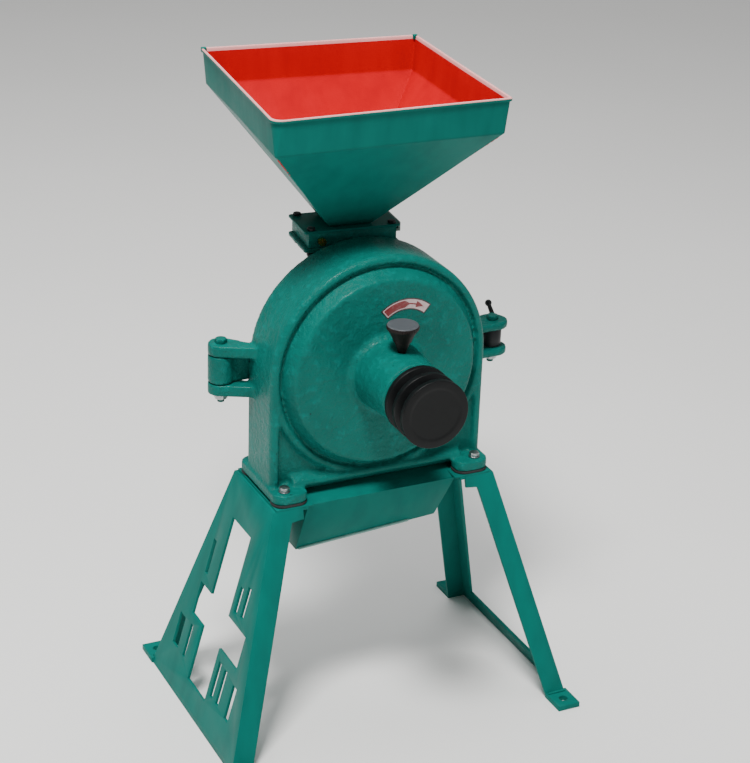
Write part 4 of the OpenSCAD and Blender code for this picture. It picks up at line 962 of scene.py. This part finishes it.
chuteLook = {"lean": (-9 * mm, 0.0, 3.5 * mm), "fold": 336 * mm, "reach": 50 * mm,
             "lip": 2.1 * mm, "lipShare": 0.82, "lipOff": (0, -1.3 * mm, 1.8 * mm)}
footWeldLook = {"radius": 2.0 * mm, "sides": 10, "ripple": 0.14, "ripples": 9, "height": 8.6 * mm,
                "tabDepth": 36 * mm, "proud": 1.0 * mm, "reachIn": 33 * mm, "reachOut": 4 * mm}


# Moves the points below the fold a little left and up, more the lower they are, over its reach.
def leanChute(points, look):
    share = np.clip((look["fold"] - points[:, 2]) / look["reach"], 0, 1)[:, None]
    return points + share * np.array(look["lean"])


# The chute's sheet hangs a little out of square from its upper frame.
def shiftChuteSheet(look):
    mesh = bpy.data.objects["chute_sheet"].data
    points = np.empty(len(mesh.vertices) * 3)
    mesh.vertices.foreach_get("co", points)
    mesh.vertices.foreach_set("co", leanChute(points.reshape(-1, 3), look).ravel())
    mesh.update()


# The hem rolled along the chute's sloping front edge: a thin tube on its lowest front line.
def chuteLip(look):
    points = nodePoints("discharge_chute")
    front = points[(points[:, 1] < 0) & (points[:, 2] < points[:, 2].min() + 26 * mm)]
    left = front[np.argmin(front[:, 0] + front[:, 2] * 0.1)]
    right = front[np.argmax(front[:, 0] - front[:, 2] * 0.6)]
    s = np.linspace(0, 1, 40)[:, None]
    s = s * look["lipShare"]
    path = leanChute(left * (1 - s) + right * s, look) + np.array(look["lipOff"])
    return tubeAlong(path, look["lip"], 10)


shiftChuteSheet(chuteLook)
# The lip takes the pale green material: a painted highlight on the rolled edge.
newPiece("chute_rolled_lip", *chuteLip(chuteLook), [lipHighlightPaint], "mill_body", "green_enamel")


# Weld beads where the foot tabs meet the legs.
def frameWelds(look):
    beads = []
    for node, sign in (("left_side_frame", -1), ("right_side_frame", 1)):
        points = nodePoints(node)
        edge = np.abs(points[:, 0]).max()
        depth = np.abs(points[:, 1]).max()
        for side in (-1, 1):
            y = side * (depth - look["tabDepth"] + look["proud"])
            s = np.linspace(0, 1, 40)[:, None]
            start = np.array([sign * (edge - look["reachIn"]), y, look["height"]])
            end = np.array([sign * (edge - look["reachOut"]), y, look["height"]])
            beads.append(tubeAlong(start * (1 - s) + end * s, look["radius"], look["sides"],
                                   look["ripple"], look["ripples"]))
    return joinParts(beads)


newPiece("foot_welds", *frameWelds(footWeldLook), [sheetPaint], "mill_body", "green_enamel")
print("label, lip and welds done")


keptShapes = {
    "bearing_outer_rings": bearingSteel, "bearing_inner_rings": bearingSteel,
    "bearing_balls": bearingSteel, "bearing_spacer": groundSteel, "cover_screws": zincSteel,
    "felt_seal": sealFelt, "wear_liner": groundSteel, "liner_screws": zincSteel,
    "ring_screen": groundSteel, "shaft": groundSteel, "pulley_key": groundSteel,
    "pulley_set_screw": bracketPaint, "rotor_hub_sleeve": machinedIron, "rotor_key": groundSteel,
    "rotor_lock_nut": groundSteel, "hammer_pins": groundSteel, "pin_spacers": groundSteel,
    "pin_clips": zincSteel, "door_gasket": padRubber, "gate_screw": turnedBrass,
}
for nodeName, material in keptShapes.items():
    mesh = frame["nodes"][nodeName].data
    mesh.materials.clear()
    mesh.materials.append(material)
print("finishes set")
